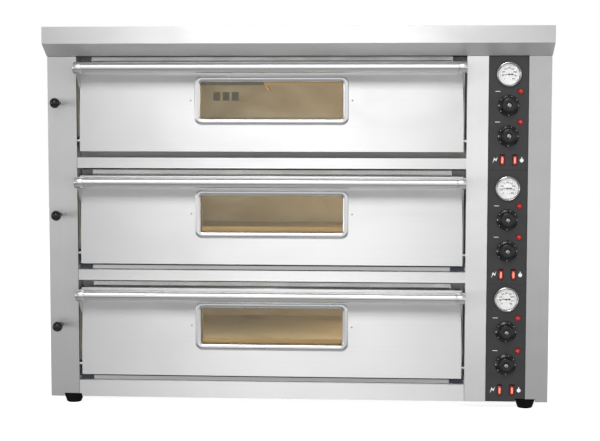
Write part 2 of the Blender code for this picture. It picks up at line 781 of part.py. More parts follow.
def build_door_panel(deck, name):
    """Outer door skin with its hinge pins and the two brackets of the handle."""
    base = deck_base(deck)
    low = (DOOR_LEFT, FRONT_Y, base)
    high = (DOOR_RIGHT, FRONT_Y + DOOR_DEPTH, base + DOOR_HEIGHT)
    panel = open_box(f"{name}_door_panel", low, high, ((0, 1, 0),))
    aperture = [side + 2 * APERTURE_MARGIN for side in SIGHT_SIZE]
    where = window_plane(deck, 0)
    outline = rounded_outline(aperture, SIGHT_CORNER)
    cut(panel, flat_plate(f"{name}_door_aperture", [outline], CUT_DEPTH, where, FACING_FRONT, CUTTERS))
    for side, edge in ((-1, DOOR_LEFT), (1, DOOR_RIGHT)):
        middle = edge - side * (CHEEK_THICKNESS / 2 + GAP / 2)
        outline = [(-reach, rise) for reach, rise in cheek_outline()]
        turn = (math.pi / 2, 0, math.pi / 2)
        cheek_name = f"{name}_handle_cheek_{'left' if side < 0 else 'right'}"
        where = (middle, FRONT_Y, base)
        join(panel, flat_plate(cheek_name, [outline], CHEEK_THICKNESS, where, turn, CUTTERS))
        pins = bmesh.new()
        centre = hinge_centre(deck, edge + side * (PIN_LENGTH / 2 - SHEET / 2))
        add_cylinder(pins, centre, PIN_RADIUS, PIN_LENGTH, FACING_RIGHT)
        join(panel, cutter_from(f"{name}_hinge_pin_{'left' if side < 0 else 'right'}", pins))
    seat = bmesh.new()
    centre = door_plane(deck, HANDLE_RISE, -HANDLE_REACH)
    add_cylinder(seat, centre, CAP_RADIUS + TOUCH_GAP, 2 * DOOR_WIDTH, FACING_RIGHT)
    cut(panel, cutter_from(f"{name}_handle_seat", seat))
    return paint(panel, "brushed")


def build_door_liner(deck, name):
    """Inner door pan, nested in the outer skin, with the inner sight opening."""
    base = deck_base(deck)
    inset = SHEET + GAP
    back = FRONT_Y + DOOR_DEPTH + LINER_SETBACK
    low = (DOOR_LEFT + inset, back - LINER_DEPTH, base + inset)
    high = (DOOR_RIGHT - inset, back, base + DOOR_HEIGHT - inset)
    liner = open_box(f"{name}_door_liner", low, high, ((0, -1, 0),), LINER_SHEET)
    where = window_plane(deck, DOOR_DEPTH)
    outline = rounded_outline(SIGHT_SIZE, SIGHT_CORNER)
    cut(liner, flat_plate(f"{name}_liner_aperture", [outline], CUT_DEPTH, where, FACING_FRONT, CUTTERS))
    return paint(liner, "chamber")


def build_window(deck, name):
    """Bezel on the door's face and the pane behind its skin."""
    where = window_plane(deck, -TOUCH_GAP - BEZEL_THICKNESS / 2)
    outlines = [rounded_outline(BEZEL_SIZE, BEZEL_CORNER), rounded_outline(SIGHT_SIZE, SIGHT_CORNER)]
    bezel = flat_plate(f"{name}_window_bezel", outlines, BEZEL_THICKNESS, where, FACING_FRONT)
    where = window_plane(deck, SHEET + TOUCH_GAP + GLASS_THICKNESS / 2)
    pane = [side + 2 * GLASS_MARGIN for side in SIGHT_SIZE]
    outline = rounded_outline(pane, SIGHT_CORNER, 2)
    glass = flat_plate(f"{name}_door_glass", [outline], GLASS_THICKNESS, where, FACING_FRONT)
    return paint(bezel, "polished"), paint(glass, "glass")


def build_handle(deck, name):
    """Tube with a screwed end cap on each side."""
    half = DOOR_WIDTH / 2 + HANDLE_OVERHANG
    outer = [
        (CAP_SCREW_RADIUS, half),
        (CAP_RADIUS - CAP_CHAMFER, half),
        (CAP_RADIUS, half - CAP_CHAMFER),
        (CAP_RADIUS, half - CAP_LENGTH),
        (HANDLE_RADIUS, half - CAP_LENGTH - CAP_STEP),
    ]
    bore = HANDLE_RADIUS - HANDLE_WALL
    inner = [(CAP_SCREW_RADIUS, HANDLE_WALL - half), (bore, HANDLE_WALL - half)]
    outer_side = outer + [(radius, -height) for radius, height in reversed(outer)]
    inner_side = inner + [(radius, -height) for radius, height in reversed(inner)]
    where = door_plane(deck, HANDLE_RISE, -HANDLE_REACH)
    handle = turned(f"{name}_door_handle", outer_side + inner_side, where, FACING_RIGHT, steps=16, ring=True)
    return paint(handle, "polished")


def build_door(deck, name):
    pieces = [
        build_door_panel(deck, name),
        build_door_liner(deck, name),
        *build_window(deck, name),
        build_handle(deck, name),
    ]
    hang_on(pivot(f"{name}_door_hinge", hinge_centre(deck)), *pieces)


def build_damper_pull(deck, name):
    """Ball knob and rod, with an arm to the blade that covers the chamber's steam vent."""
    centre = damper_centre(deck)
    ball = arc((0, BALL_REACH), BALL_RADIUS, 90, -60, 8)
    profile = [(max(radius, 0), height) for radius, height in ball]
    profile[0] = (0, BALL_REACH + BALL_RADIUS)
    ferrule = BALL_REACH - FERRULE_SETBACK
    rod_end = ROD_SETBACK + ARM_SIZE[0]
    profile += [
        (FERRULE_RADIUS, ferrule),
        (FERRULE_RADIUS, ferrule - FERRULE_LENGTH),
        (ROD_RADIUS, ferrule - FERRULE_LENGTH),
        (ROD_RADIUS, -rod_end),
        (0, -rod_end),
    ]
    pull = turned(f"{name}_damper_pull", profile, centre, FACING_FRONT, steps=14)
    wall = DOORWAY_MIDDLE - CHAMBER_WIDTH / 2 - SHEET - GAP
    blade_y = FRONT_Y + ROD_SETBACK
    half = BLADE_SIZE / 2
    arm_low = (centre.x, blade_y - ARM_SIZE[0] / 2, centre.z - ARM_SIZE[1] / 2)
    arm_high = (wall - BLADE_THICKNESS / 2, blade_y + ARM_SIZE[0] / 2, centre.z + ARM_SIZE[1] / 2)
    blade_low = (wall - BLADE_THICKNESS, blade_y - half, centre.z - half)
    blade_high = (wall, blade_y + half, centre.z + half)
    join(pull, box(f"{name}_damper_arm", arm_low, arm_high, CUTTERS))
    join(pull, box(f"{name}_damper_blade", blade_low, blade_high, CUTTERS))
    return paint(pull, "black")


# --- Controls ---------------------------------------------------------------


def panel_place(deck, rise, offset=0, reach=0):
    """A point on the control panel, or reach in front of it, beside one deck."""
    return Vector((PANEL_MIDDLE + offset, FRONT_Y + PANEL_RECESS - reach, deck_base(deck) + rise))


def build_control_panel():
    """Recessed channel with the openings of every control and the seams between the decks' fields."""
    back = FRONT_Y + PANEL_RETURN
    face = FRONT_Y + PANEL_RECESS
    left = PANEL_LEFT + GAP
    right = PANEL_RIGHT - GAP
    profile = [
        (left, back, BODY_BOTTOM),
        (left, face, BODY_BOTTOM),
        (right, face, BODY_BOTTOM),
        (right, back, BODY_BOTTOM),
    ]
    panel = folded_sheet("control_panel", profile, (0, 0, BODY_HEIGHT - GAP), PANEL_SHEET)
    bm = bmesh.new()
    add_foot_notches(bm)
    for deck in range(len(DECKS)):
        gauge = panel_place(deck, GAUGE_RISES[deck])
        add_cylinder(bm, gauge, GAUGE_BODY_RADIUS + GAP, CUT_DEPTH, FACING_FRONT)
        for rises in KNOB_RISES.values():
            shaft = panel_place(deck, rises[deck])
            add_cylinder(bm, shaft, SHAFT_HOLE_RADIUS, CUT_DEPTH, FACING_FRONT, 12)
            pilot = panel_place(deck, rises[deck] + PILOT_RISE, PILOT_OFFSET)
            add_cylinder(bm, pilot, PILOT_HOLE_RADIUS, CUT_DEPTH, FACING_FRONT, 12)
        for offset in SWITCH_OFFSETS.values():
            half = Vector((ROCKER_SIZE[0] / 2 + GAP, CUT_MARGIN, ROCKER_SIZE[1] / 2 + 3 * GAP))
            centre = panel_place(deck, SWITCH_RISES[deck], offset)
            add_box(bm, centre - half, centre + half)
    for deck in range(1, len(DECKS)):
        seam = panel_place(deck, SEAM_RISE)
        half = Vector((PANEL_WIDTH, SEAM_SIZE, SEAM_SIZE / 2))
        add_box(bm, seam - half, seam + half)
    cut(panel, cutter_from("control_panel_openings", bm))
    return paint(panel, "panel")


def build_thermometer(deck, name):
    """Cup with its bezel and recessed dial, and the needle on the dial's pivot."""
    profile = [
        (0, DIAL_REACH),
        (DIAL_RADIUS, DIAL_REACH),
        (DIAL_RADIUS + 0.0007, GAUGE_REACH - 0.001),
        (GAUGE_RADIUS - 0.002, GAUGE_REACH),
        (GAUGE_RADIUS, GAUGE_REACH - 0.002),
        (GAUGE_RADIUS, TOUCH_GAP),
        (GAUGE_BODY_RADIUS, TOUCH_GAP),
        (GAUGE_BODY_RADIUS, -GAUGE_BODY_DEPTH),
        (0, -GAUGE_BODY_DEPTH),
    ]
    where = panel_place(deck, GAUGE_RISES[deck])
    paint(turned(f"{name}_thermometer_case", profile, where, FACING_FRONT), "chrome")
    half = NEEDLE_HALF_WIDTH
    upper = [(-NEEDLE_TIP, 0), (0, 0.4 * half), (0.75 * NEEDLE_TAIL, half), (NEEDLE_TAIL, 0.55 * half)]
    outline = [(x, -y) for x, y in upper[1:]] + upper[::-1]
    where = panel_place(deck, GAUGE_RISES[deck], 0, NEEDLE_REACH)
    needle = flat_plate(f"{name}_thermometer_needle", [outline], NEEDLE_THICKNESS, where, FACING_FRONT)
    hub_low, hub_high = (side * NEEDLE_REACH / 4 for side in (-1, 1))
    hub_profile = [(0, hub_high), (NEEDLE_HUB_RADIUS, hub_high), (NEEDLE_HUB_RADIUS, hub_low), (0, hub_low)]
    hub = turned(f"{name}_needle_hub", hub_profile, where, FACING_FRONT, CUTTERS, 12)
    join(needle, hub)
    paint(needle, "needle")


def build_knob(deck, name, level):
    """Skirted thermostat knob with its shaft."""
    profile = [
        (0, KNOB_HEIGHT),
        (KNOB_CAP_RADIUS - 0.003, KNOB_HEIGHT),
        (KNOB_CAP_RADIUS - 0.001, KNOB_HEIGHT - 0.002),
        (KNOB_CAP_RADIUS, KNOB_SKIRT_HEIGHT + 0.002),
        (KNOB_SKIRT_RADIUS - 0.002, KNOB_SKIRT_HEIGHT),
        (KNOB_SKIRT_RADIUS, KNOB_REACH),
        (SHAFT_RADIUS, KNOB_REACH),
        (SHAFT_RADIUS, -SHAFT_DEPTH),
        (0, -SHAFT_DEPTH),
    ]
    where = panel_place(deck, KNOB_RISES[level][deck])
    paint(turned(f"{name}_{level}_heat_knob", profile, where, FACING_FRONT), "black")


def build_rocker(deck, name, role):
    """Rocker cap seen from the side as (height, reach), tilted to its on position."""
    half = ROCKER_SIZE[1] / 2
    outline = [
        (-half, -ROCKER_ROOT),
        (half, -ROCKER_ROOT),
        (half, ROCKER_END_REACH),
        (0, ROCKER_DISH_REACH),
        (-half, ROCKER_END_REACH),
    ]
    where = panel_place(deck, SWITCH_RISES[deck], SWITCH_OFFSETS[role], -ROCKER_SETBACK)
    turn = Matrix.Rotation(ROCKER_THROW / 2, 3, "X") @ Matrix(((0, 0, 1), (0, -1, 0), (1, 0, 0)))
    rocker = flat_plate(f"{name}_{role}_rocker", [outline], ROCKER_SIZE[0], where, turn.to_euler())
    return paint(rocker, "lens")


def build_controls(deck, name):
    build_thermometer(deck, name)
    for level in KNOB_RISES:
        build_knob(deck, name, level)
    for role in SWITCH_OFFSETS:
        build_rocker(deck, name, role)


# --- Oven -------------------------------------------------------------------


def build_oven():
    build_left_casing()
    build_right_casing()
    build_front_frame()
    build_base_tray()
    build_back_panel()
    build_top_hood()
    build_feet()
    build_cable_gland()
    build_control_panel()
    for deck, name in enumerate(DECKS):
        build_chamber(deck, name)
        build_stone(deck, name)
        for level in ELEMENT_RISES:
            build_element(deck, name, level)
        build_door(deck, name)
        build_damper_pull(deck, name)
        build_controls(deck, name)


build_oven()
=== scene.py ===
"""Looks of the three-deck electric pizza oven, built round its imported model.

Metres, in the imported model's frame: +X to the right, -Y out of the front, +Z up.
A piece's local Z points out of the surface that it stands on.
"""

import json
import math

import bmesh
import bpy
from mathutils import Matrix, Vector


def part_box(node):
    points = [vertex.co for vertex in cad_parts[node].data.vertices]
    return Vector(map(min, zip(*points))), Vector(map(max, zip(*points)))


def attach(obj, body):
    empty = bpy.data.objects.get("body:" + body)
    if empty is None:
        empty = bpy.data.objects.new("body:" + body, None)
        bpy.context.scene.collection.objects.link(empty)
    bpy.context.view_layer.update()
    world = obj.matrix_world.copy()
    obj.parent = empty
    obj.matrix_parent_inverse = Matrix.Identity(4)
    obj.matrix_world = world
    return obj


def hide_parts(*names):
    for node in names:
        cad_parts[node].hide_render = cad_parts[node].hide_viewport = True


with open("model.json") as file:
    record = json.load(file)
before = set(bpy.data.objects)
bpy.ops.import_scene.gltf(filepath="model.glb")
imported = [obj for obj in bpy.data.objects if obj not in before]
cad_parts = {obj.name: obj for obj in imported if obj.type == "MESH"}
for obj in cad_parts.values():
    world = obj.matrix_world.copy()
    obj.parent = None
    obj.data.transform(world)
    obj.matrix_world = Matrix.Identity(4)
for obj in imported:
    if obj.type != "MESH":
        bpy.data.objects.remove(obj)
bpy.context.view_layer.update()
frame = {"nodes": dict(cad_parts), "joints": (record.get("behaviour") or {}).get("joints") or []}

DECKS = ("top", "middle", "bottom")
LEVELS = ("upper", "lower")

# Camera
SENSOR = 36.0
LENS = 80.58
CAMERA_X = 0.2106
CAMERA_HEIGHT = 0.7085
CAMERA_DISTANCE = 3.2757
CAMERA_TILT = math.pi / 2 - 0.0752
CAMERA_ROLL = -0.001
CAMERA_TURN = 0.0618

# Light; the sky's tables hold (degrees, brightness), and a softbox is (place, size, radiance)
FLOOR_SIZE = 14.0
BACKGROUND = 1.0
SKY_STRENGTH = 1.7
SKY_BY_HEIGHT = (
    (-90, 0.32), (-62, 0.32), (-46, 0.42), (-38, 0.08), (-26, 0.08), (-17, 0.35), (-10, 0.42), (-1, 1.0),
    (7, 0.6), (20, 0.36), (60, 0.3), (90, 0.3),
)
SKY_BY_SIDE = (
    (-60, 0.72), (-30, 0.66), (-16, 0.6), (-8, 0.98), (2, 1.0), (8, 0.84), (20, 0.86), (60, 0.85),
)
SOFTBOXES = {
    "overhead_softbox": ((-0.38, -4.89, 4.05), (2.0, 2.0), 9.0),
    "side_lamp": ((-4.4, -3.4, 0.4), (0.5, 0.5), 20.0),
}
LAMP_SIZE = (0.3, 0.05)
LAMP_RADIANCE = 12.0
LAMP_COLOUR = (1.0, 0.83, 0.6)
FILL_SIZE = (0.85, 0.02)
FILL_RADIANCE = {"top": 9.3, "middle": 11.5, "bottom": 15.0}
FILL_COLOUR = (0.95, 1.0, 1.0)
LAMP_INSET = 0.08
FILL_SETBACK = 0.06
LIGHT_RISE = 0.11
FILL_AIM_RISE = 0.07

# Door furniture
HANDLE_RADIUS = 0.0125
CAP_RADIUS = 0.014
CAP_LENGTH = 0.022
CAP_SCREW_RADIUS = 0.0045
BEZEL_CORNER = 0.016
SIGHT_SIZE = (0.349, 0.09)
SIGHT_CORNER = 0.0075
BEZEL_SCREW_GAP = 0.0093
CLAMP_HEIGHT = 0.0134
CLAMP_SHEET = 0.0015
CLAMP_OVERLAP = 0.002
CLAMP_SPLIT = -0.0805
PROBE_TOP = (-0.081, 0.168)
PROBE_FOOT = (-0.065, 0.1455)
PROBE_RADIUS = 0.0035
PROBE_SETBACK = 0.0125
CLAMP_SETBACK = 0.0085

# Doorways: rises are from a door's lower edge, setbacks from the front face
DOORWAY_LEFT = -0.5432
DOORWAY_RIGHT = 0.4122
DOORWAY_GAP = 0.0007
RAIL_DROP = 0.0149
RAIL_HEIGHT = 0.0265
FACING_SHEET = 0.0003
FACING_MARGIN = 0.0003
# Depth and thickness of the grey pieces that paint the shade in the doorway gaps
GAP_SHADE_SETBACK = 0.0452
GAP_SHADE_THICKNESS = 0.0032
CORNER_WIDTH = 0.0335
CORNER_RISE = 0.218
LIP_RISE = 0.2195
LIP_SETBACK = 0.023
LIP_SHEET = 0.0015
MOUTH_RISE = 0.2318
# Place of the dark strip that paints the shade in the gap left of each door
SIDE_SHADE_SETBACKS = (0.004, 0.02)
SIDE_SHADE_RISES = (0.036, 0.2)
SIDE_SHADE_WIDTH = 0.006
SILL_SETBACK = 0.01
SILL_SHEET = 0.002
SILL_RISES = (-0.0136, -0.004)
BRACKET_RISES = (-0.013, -0.0034)
BRACKET_SETBACKS = (-0.0016, -0.0002)
BRACKET_INSET = 0.002
BRACKET_LENGTHS = (0.032, 0.034)
WELD_COUNT = 9
WELD_START = -0.434
WELD_PITCH = 0.1
WELD_RISE = 0.2272
WELD_SETBACK = 0.022

# Body
TAB_WIDTHS = {"left": 0.008, "right": 0.004}
TAB_HEIGHT = 0.0079
TAB_LAP = 0.0004
TAB_SHEET = 0.001
FOOT_GAP_SIDE = 0.0006
FOOT_GAP_TOP = 0.0008
FLUE_COUNT = 3
FLUE_START = -0.286
FLUE_PITCH = 0.027
FLUE_RISE = 0.1332
FLUE_SIZE = (0.02, 0.025)
OVEN_LAMP_OFFSET = (0.004, -0.12, 0.065)
SIDE_SCREW_SETBACK = 0.3
SIDE_SCREW_BACK_GAP = 0.02
SIDE_SCREW_HEIGHTS = (0.06, 0.3, 0.58, 0.83)
BACK_SCREW_HEIGHTS = (0.045, 0.44, 0.84)
BACK_SCREW_PLACES = (-0.59, -0.2, 0.2, 0.59)
BALL_RADIUS = 0.0125
HALF_BLADE = 0.022

# Controls
PILOT_RISE = 0.034
PILOT_OFFSET = 0.0286
DASH_OFFSET = -0.0262
DASH_SIZE = (0.0118, 0.0013)
FLASH_OFFSET = -0.031
LAMP_OFFSET = 0.033
DIAL_RADIUS = 0.0254
DIAL_START = 225
DIAL_SWEEP = 270
DIAL_NUMBERS = range(0, 401, 50)
DIAL_STEPS = 40
DIAL_LONG_STEP = 5
DIAL_NUMBER_RADIUS = 0.0152
KNOB_FLUTES = 24
DIAL_FACE_RISE = 0.0031
DIAL_NUMBER_SIZE = 0.005
SHORT_STROKE = (0.0204, 0.0222)
LONG_STROKE = (0.0192, 0.0222)
STROKE_WIDTH = 0.0005
POINTER_RISE = 0.004
FLUTE_RADIUS = 0.0183
SLOT_ANGLE = 0.9
KNOB_MARK_RADIUS = 0.0232
PRINT_LEVELS = (0.00005, 0.0002)
ROCKER_TILT = math.radians(8)
ROCKER_STEPS = 4
MARK_ANGLES = (0, 36, 72, 108, 144, 180, 216, 270)
OFF_ANGLE = 180

FACING_FRONT = Matrix.Rotation(math.pi / 2, 4, "X")
FACING_BACK = Matrix.Rotation(-math.pi / 2, 4, "X")
FACING_RIGHT = Matrix.Rotation(math.pi / 2, 4, "Y")
FACING_LEFT = Matrix.Rotation(-math.pi / 2, 4, "Y")
FACING_UP = Matrix.Identity(4)


# --- Places ---


def middle_of(node):
    low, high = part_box(node)
    return (low + high) / 2


def joint_place(name):
    """A point on the axis of a joint, as the record gives it."""
    joint = next(joint for joint in frame["joints"] if joint["name"] == name)
    return Vector(joint["pos_m"])


def at(point, facing=FACING_FRONT):
    return Matrix.Translation(point) @ facing


PANEL_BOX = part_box("control_panel")
PANEL_FACE = PANEL_BOX[0].y
PANEL_MIDDLE = (PANEL_BOX[0].x + PANEL_BOX[1].x) / 2
FRONT_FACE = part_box("right_casing")[0].y


def deck_base(deck):
    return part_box(f"{deck}_door_panel")[0].z


# --- Materials ---


class Surface:
    """A Principled material and the procedural detail that is added to it."""

    def __init__(self, name, colour, roughness, metallic=0.0, **sockets):
        self.material = bpy.data.materials.new(name)
        self.material.use_nodes = True
        self.tree = self.material.node_tree
        self.shader = self.tree.nodes["Principled BSDF"]
        self.colour = (*colour, 1.0)
        self.shader.inputs["Base Color"].default_value = self.colour
        self.shader.inputs["Roughness"].default_value = roughness
        self.shader.inputs["Metallic"].default_value = metallic
        for socket, value in sockets.items():
            self.shader.inputs[socket.replace("_", " ")].default_value = value
        self.place = self.add("TexCoord").outputs["Object"]
        self.tinted = None
        self.normal = None

    def add(self, kind, **settings):
        node = self.tree.nodes.new("ShaderNode" + kind)
        for name, value in settings.items():
            setattr(node, name, value)
        return node

    def link(self, source, target):
        self.tree.links.new(source, target)

    def scaled(self, scale):
        """Coordinates that repeat scale times in a metre, along each axis."""
        mapping = self.add("Mapping")
        mapping.inputs["Scale"].default_value = scale
        self.link(self.place, mapping.inputs["Vector"])
        return mapping.outputs["Vector"]

    def axis(self, name):
        """One coordinate of the surface, in metres."""
        split = self.add("SeparateXYZ")
        self.link(self.place, split.inputs["Vector"])
        return split.outputs[name]

    def noise(self, scale, detail=3.0, distortion=0.0):
        node = self.add("TexNoise")
        node.inputs["Scale"].default_value = 1.0
        node.inputs["Detail"].default_value = detail
        node.inputs["Distortion"].default_value = distortion
        self.link(self.scaled(scale), node.inputs["Vector"])
        return node.outputs["Fac"]

    def cells(self, scale, feature="F1", output="Distance"):
        node = self.add("TexVoronoi", feature=feature)
        node.inputs["Scale"].default_value = 1.0
        self.link(self.scaled(scale), node.inputs["Vector"])
        return node.outputs[output]

    def between(self, factor, low, high, start=0.0, end=1.0):
        """The factor, mapped from low..high to start..end and clamped."""
        node = self.add("MapRange")
        self.link(factor, node.inputs["Value"])
        for name, value in (("From Min", low), ("From Max", high), ("To Min", start), ("To Max", end)):
            node.inputs[name].default_value = value
        return node.outputs["Result"]

    def tint(self, factor, colour, *span):
        """Mixes a second colour into the first one by the factor, which a span maps as between() does."""
        node = self.add("Mix", data_type="RGBA")
        self.link(self.between(factor, *span) if span else factor, node.inputs["Factor"])
        if self.tinted is None:
            node.inputs["A"].default_value = self.colour
        else:
            self.link(self.tinted, node.inputs["A"])
        node.inputs["B"].default_value = (*colour, 1.0)
        self.tinted = node.outputs["Result"]
        self.link(self.tinted, self.shader.inputs["Base Color"])

    def gloss(self, factor, start, end):
        self.link(self.between(factor, 0.3, 0.7, start, end), self.shader.inputs["Roughness"])

    def bump(self, factor, height):
        node = self.add("Bump")
        node.inputs["Distance"].default_value = height
        self.link(factor, node.inputs["Height"])
        if self.normal is not None:
            self.link(self.normal, node.inputs["Normal"])
        self.normal = node.outputs["Normal"]
        self.link(self.normal, self.shader.inputs["Normal"])


HEAT_TINT_START = FRONT_FACE + 0.055
HEAT_TINT_FULL = FRONT_FACE + 0.11
GRAIN_ALONG = 2.5
GRAIN_ACROSS = 1500.0
GRAIN_SCALES = {
    "X": (GRAIN_ALONG, GRAIN_ACROSS, GRAIN_ACROSS),
    "Z": (GRAIN_ACROSS, GRAIN_ACROSS, GRAIN_ALONG),
}


def brushed_steel(name, colour, roughness, grain, anisotropy=0.5, lies_flat=False):
    """Satin stainless with its grain along one axis, faint hand marks and a slight wave of the sheet.

    lies_flat gives a sheet with a large level face a tangent that runs straight across that face.
    """
    turn = 0.25 if grain == "X" and not lies_flat else 0.0
    steel = Surface(name, colour, roughness, 1.0, Anisotropic=anisotropy, Anisotropic_Rotation=turn)
    fine = steel.noise(GRAIN_SCALES[grain], 4.0)
    marks = steel.noise((5.0, 5.0, 9.0), 5.0, 0.6)
    steel.tint(fine, [0.82 * part for part in colour], 0.35, 0.7, 0.0, 0.2)
    steel.tint(marks, [0.86 * part for part in colour], 0.45, 0.75, 0.0, 0.12)
    steel.gloss(marks, roughness - 0.03, roughness + 0.04)
    steel.bump(fine, 0.00002)
    steel.bump(steel.noise((2.4, 2.4, 3.0), 0.0), 0.0006)
    if lies_flat:
        tangent = steel.add("Tangent", direction_type="RADIAL", axis="X")
        steel.link(tangent.outputs["Tangent"], steel.shader.inputs["Tangent"])
    return steel.material


def polished_steel(name, colour, roughness, scale):
    """Polished stainless with faint turning lines."""
    steel = Surface(name, colour, roughness, 1.0)
    lines = steel.noise(scale, 1.0)
    steel.tint(lines, [0.88 * part for part in colour], 0.35, 0.75, 0.0, 0.2)
    steel.gloss(lines, roughness - 0.01, roughness + 0.01)
    return steel.material


def chamber_steel():
    """Aluminised sheet, browned by heat in soft clouds."""
    steel = Surface("heat_tinted_steel", (0.6, 0.6, 0.59), 0.42, 1.0)
    clouds = steel.noise((7.0, 7.0, 11.0), 5.0, 1.2)
    inside = steel.add("Math", operation="MULTIPLY")
    steel.link(steel.between(clouds, 0.3, 0.72, 0.5, 1.0), inside.inputs[0])
    steel.link(steel.between(steel.axis("Y"), HEAT_TINT_START, HEAT_TINT_FULL), inside.inputs[1])
    steel.tint(inside.outputs["Value"], (0.4, 0.31, 0.2))
    steel.tint(steel.cells((260.0,) * 3), (0.3, 0.29, 0.28), 0.2, 0.9, 0.0, 0.25)
    steel.gloss(clouds, 0.36, 0.52)
    steel.bump(steel.noise((240.0,) * 3, 2.0), 0.00001)
    return steel.material


def element_sheath():
    sheath = Surface("oxidised_sheath", (0.15, 0.14, 0.12), 0.5, 0.8)
    scale = sheath.noise((60.0,) * 3, 6.0)
    sheath.tint(scale, (0.24, 0.2, 0.15), 0.45, 0.75)
    sheath.gloss(scale, 0.42, 0.62)
    sheath.bump(scale, 0.00006)
    return sheath.material


def firestone():
    """Pale refractory with grit, pores and the brown shadow of earlier bakes."""
    stone = Surface("refractory_stone", (0.64, 0.56, 0.44), 0.92)
    grit = stone.cells((420.0,) * 3)
    stone.tint(grit, (0.4, 0.34, 0.26), 0.05, 0.45, 0.55, 0.0)
    baked = stone.noise((3.6, 4.4, 3.6), 6.0, 0.8)
    stone.tint(baked, (0.33, 0.22, 0.13), 0.5, 0.72, 0.0, 0.75)
    stone.bump(grit, 0.0003)
    stone.bump(stone.noise((160.0,) * 3, 4.0), 0.0004)
    return stone.material


def bronze_glass():
    """Heat-reflecting glass with a bronze coat and a trace of wiping marks."""
    glass = Surface("bronze_glass", (0.82, 0.73, 0.54), 0.03, Transmission_Weight=0.96, IOR=1.33)
    wiped = glass.noise((9.0, 9.0, 30.0), 4.0, 0.4)
    glass.gloss(wiped, 0.02, 0.06)
    glass.tint(wiped, (0.75, 0.66, 0.47), 0.4, 0.8, 0.0, 0.25)
    return glass.material


def panel_film():
    """Charcoal powder coat with a fine orange-peel texture."""
    film = Surface("charcoal_powder_coat", (0.023, 0.023, 0.025), 0.46)
    peel = film.noise((900.0,) * 3, 2.0)
    film.tint(film.noise((40.0,) * 3, 4.0), (0.034, 0.034, 0.036), 0.4, 0.8, 0.0, 0.4)
    film.gloss(peel, 0.42, 0.5)
    film.bump(peel, 0.00005)
    return film.material


def phenolic(name, roughness):
    """Moulded black phenolic, glossy with faint flow marks."""
    plastic = Surface(name, (0.006, 0.006, 0.007), roughness, Specular_IOR_Level=0.4)
    flow = plastic.noise((120.0, 120.0, 60.0), 3.0, 1.5)
    plastic.tint(flow, (0.014, 0.013, 0.013), 0.45, 0.8, 0.0, 0.6)
    plastic.gloss(flow, roughness - 0.02, roughness + 0.05)
    plastic.bump(flow, 0.00002)
    return plastic.material


def lit_lens(name, colour, glow, strength):
    """Coloured plastic with a neon lamp behind it."""
    light = {"Emission_Color": (*glow, 1.0), "Emission_Strength": strength}
    lens = Surface(name, colour, 0.12, Coat_Weight=0.6, **light)
    ribs = lens.noise((700.0,) * 3, 1.0)
    lens.tint(ribs, [0.6 * part for part in colour], 0.3, 0.7, 0.0, 0.35)
    lens.bump(ribs, 0.00006)
    return lens.material


def ink(name, colour, roughness=0.5):
    """Screen-printed ink, slightly uneven in cover."""
    print_coat = Surface(name, colour, roughness)
    cover = print_coat.noise((1500.0,) * 3, 2.0)
    print_coat.tint(cover, [0.8 * part for part in colour], 0.4, 0.8, 0.0, 0.15)
    print_coat.bump(cover, 0.00001)
    return print_coat.material


def foot_rubber():
    rubber = Surface("moulded_rubber", (0.004, 0.004, 0.004), 0.7, Specular_IOR_Level=0.05)
    dust = rubber.noise((90.0,) * 3, 5.0)
    rubber.tint(dust, (0.008, 0.008, 0.007), 0.5, 0.8, 0.0, 0.5)
    rubber.gloss(dust, 0.55, 0.75)
    rubber.bump(rubber.noise((700.0,) * 3, 2.0), 0.00008)
    return rubber.material


def galvanised_sheet():
    """Zinc-coated sheet with its spangle."""
    sheet = Surface("galvanised_spangle", (0.56, 0.58, 0.6), 0.4, 1.0)
    spangle = sheet.cells((55.0,) * 3, "F1", "Color")
    flake = sheet.add("SeparateColor")
    sheet.link(spangle, flake.inputs["Color"])
    sheet.tint(flake.outputs["Red"], (0.4, 0.42, 0.44), 0.0, 1.0, 0.0, 0.6)
    sheet.gloss(flake.outputs["Green"], 0.3, 0.5)
    sheet.bump(sheet.noise((300.0,) * 3, 3.0), 0.00003)
    return sheet.material


def clear_cover():
    cover = Surface("clear_cover_glass", (1.0,) * 3, 0.02, 0.0, Transmission_Weight=1.0, IOR=1.45)
    cover.gloss(cover.noise((80.0,) * 3, 2.0), 0.01, 0.04)
    return cover.material


def floor_paint():
    paint = Surface("studio_floor", (0.86, 0.86, 0.86), 0.7, 0.0, Emission_Color=(1.0, 1.0, 1.0, 1.0))
    paint.shader.inputs["Emission Strength"].default_value = 0.8
    paint.tint(paint.noise((0.8,) * 3, 3.0), (0.84, 0.84, 0.84), 0.3, 0.8, 0.0, 0.5)
    return paint.material


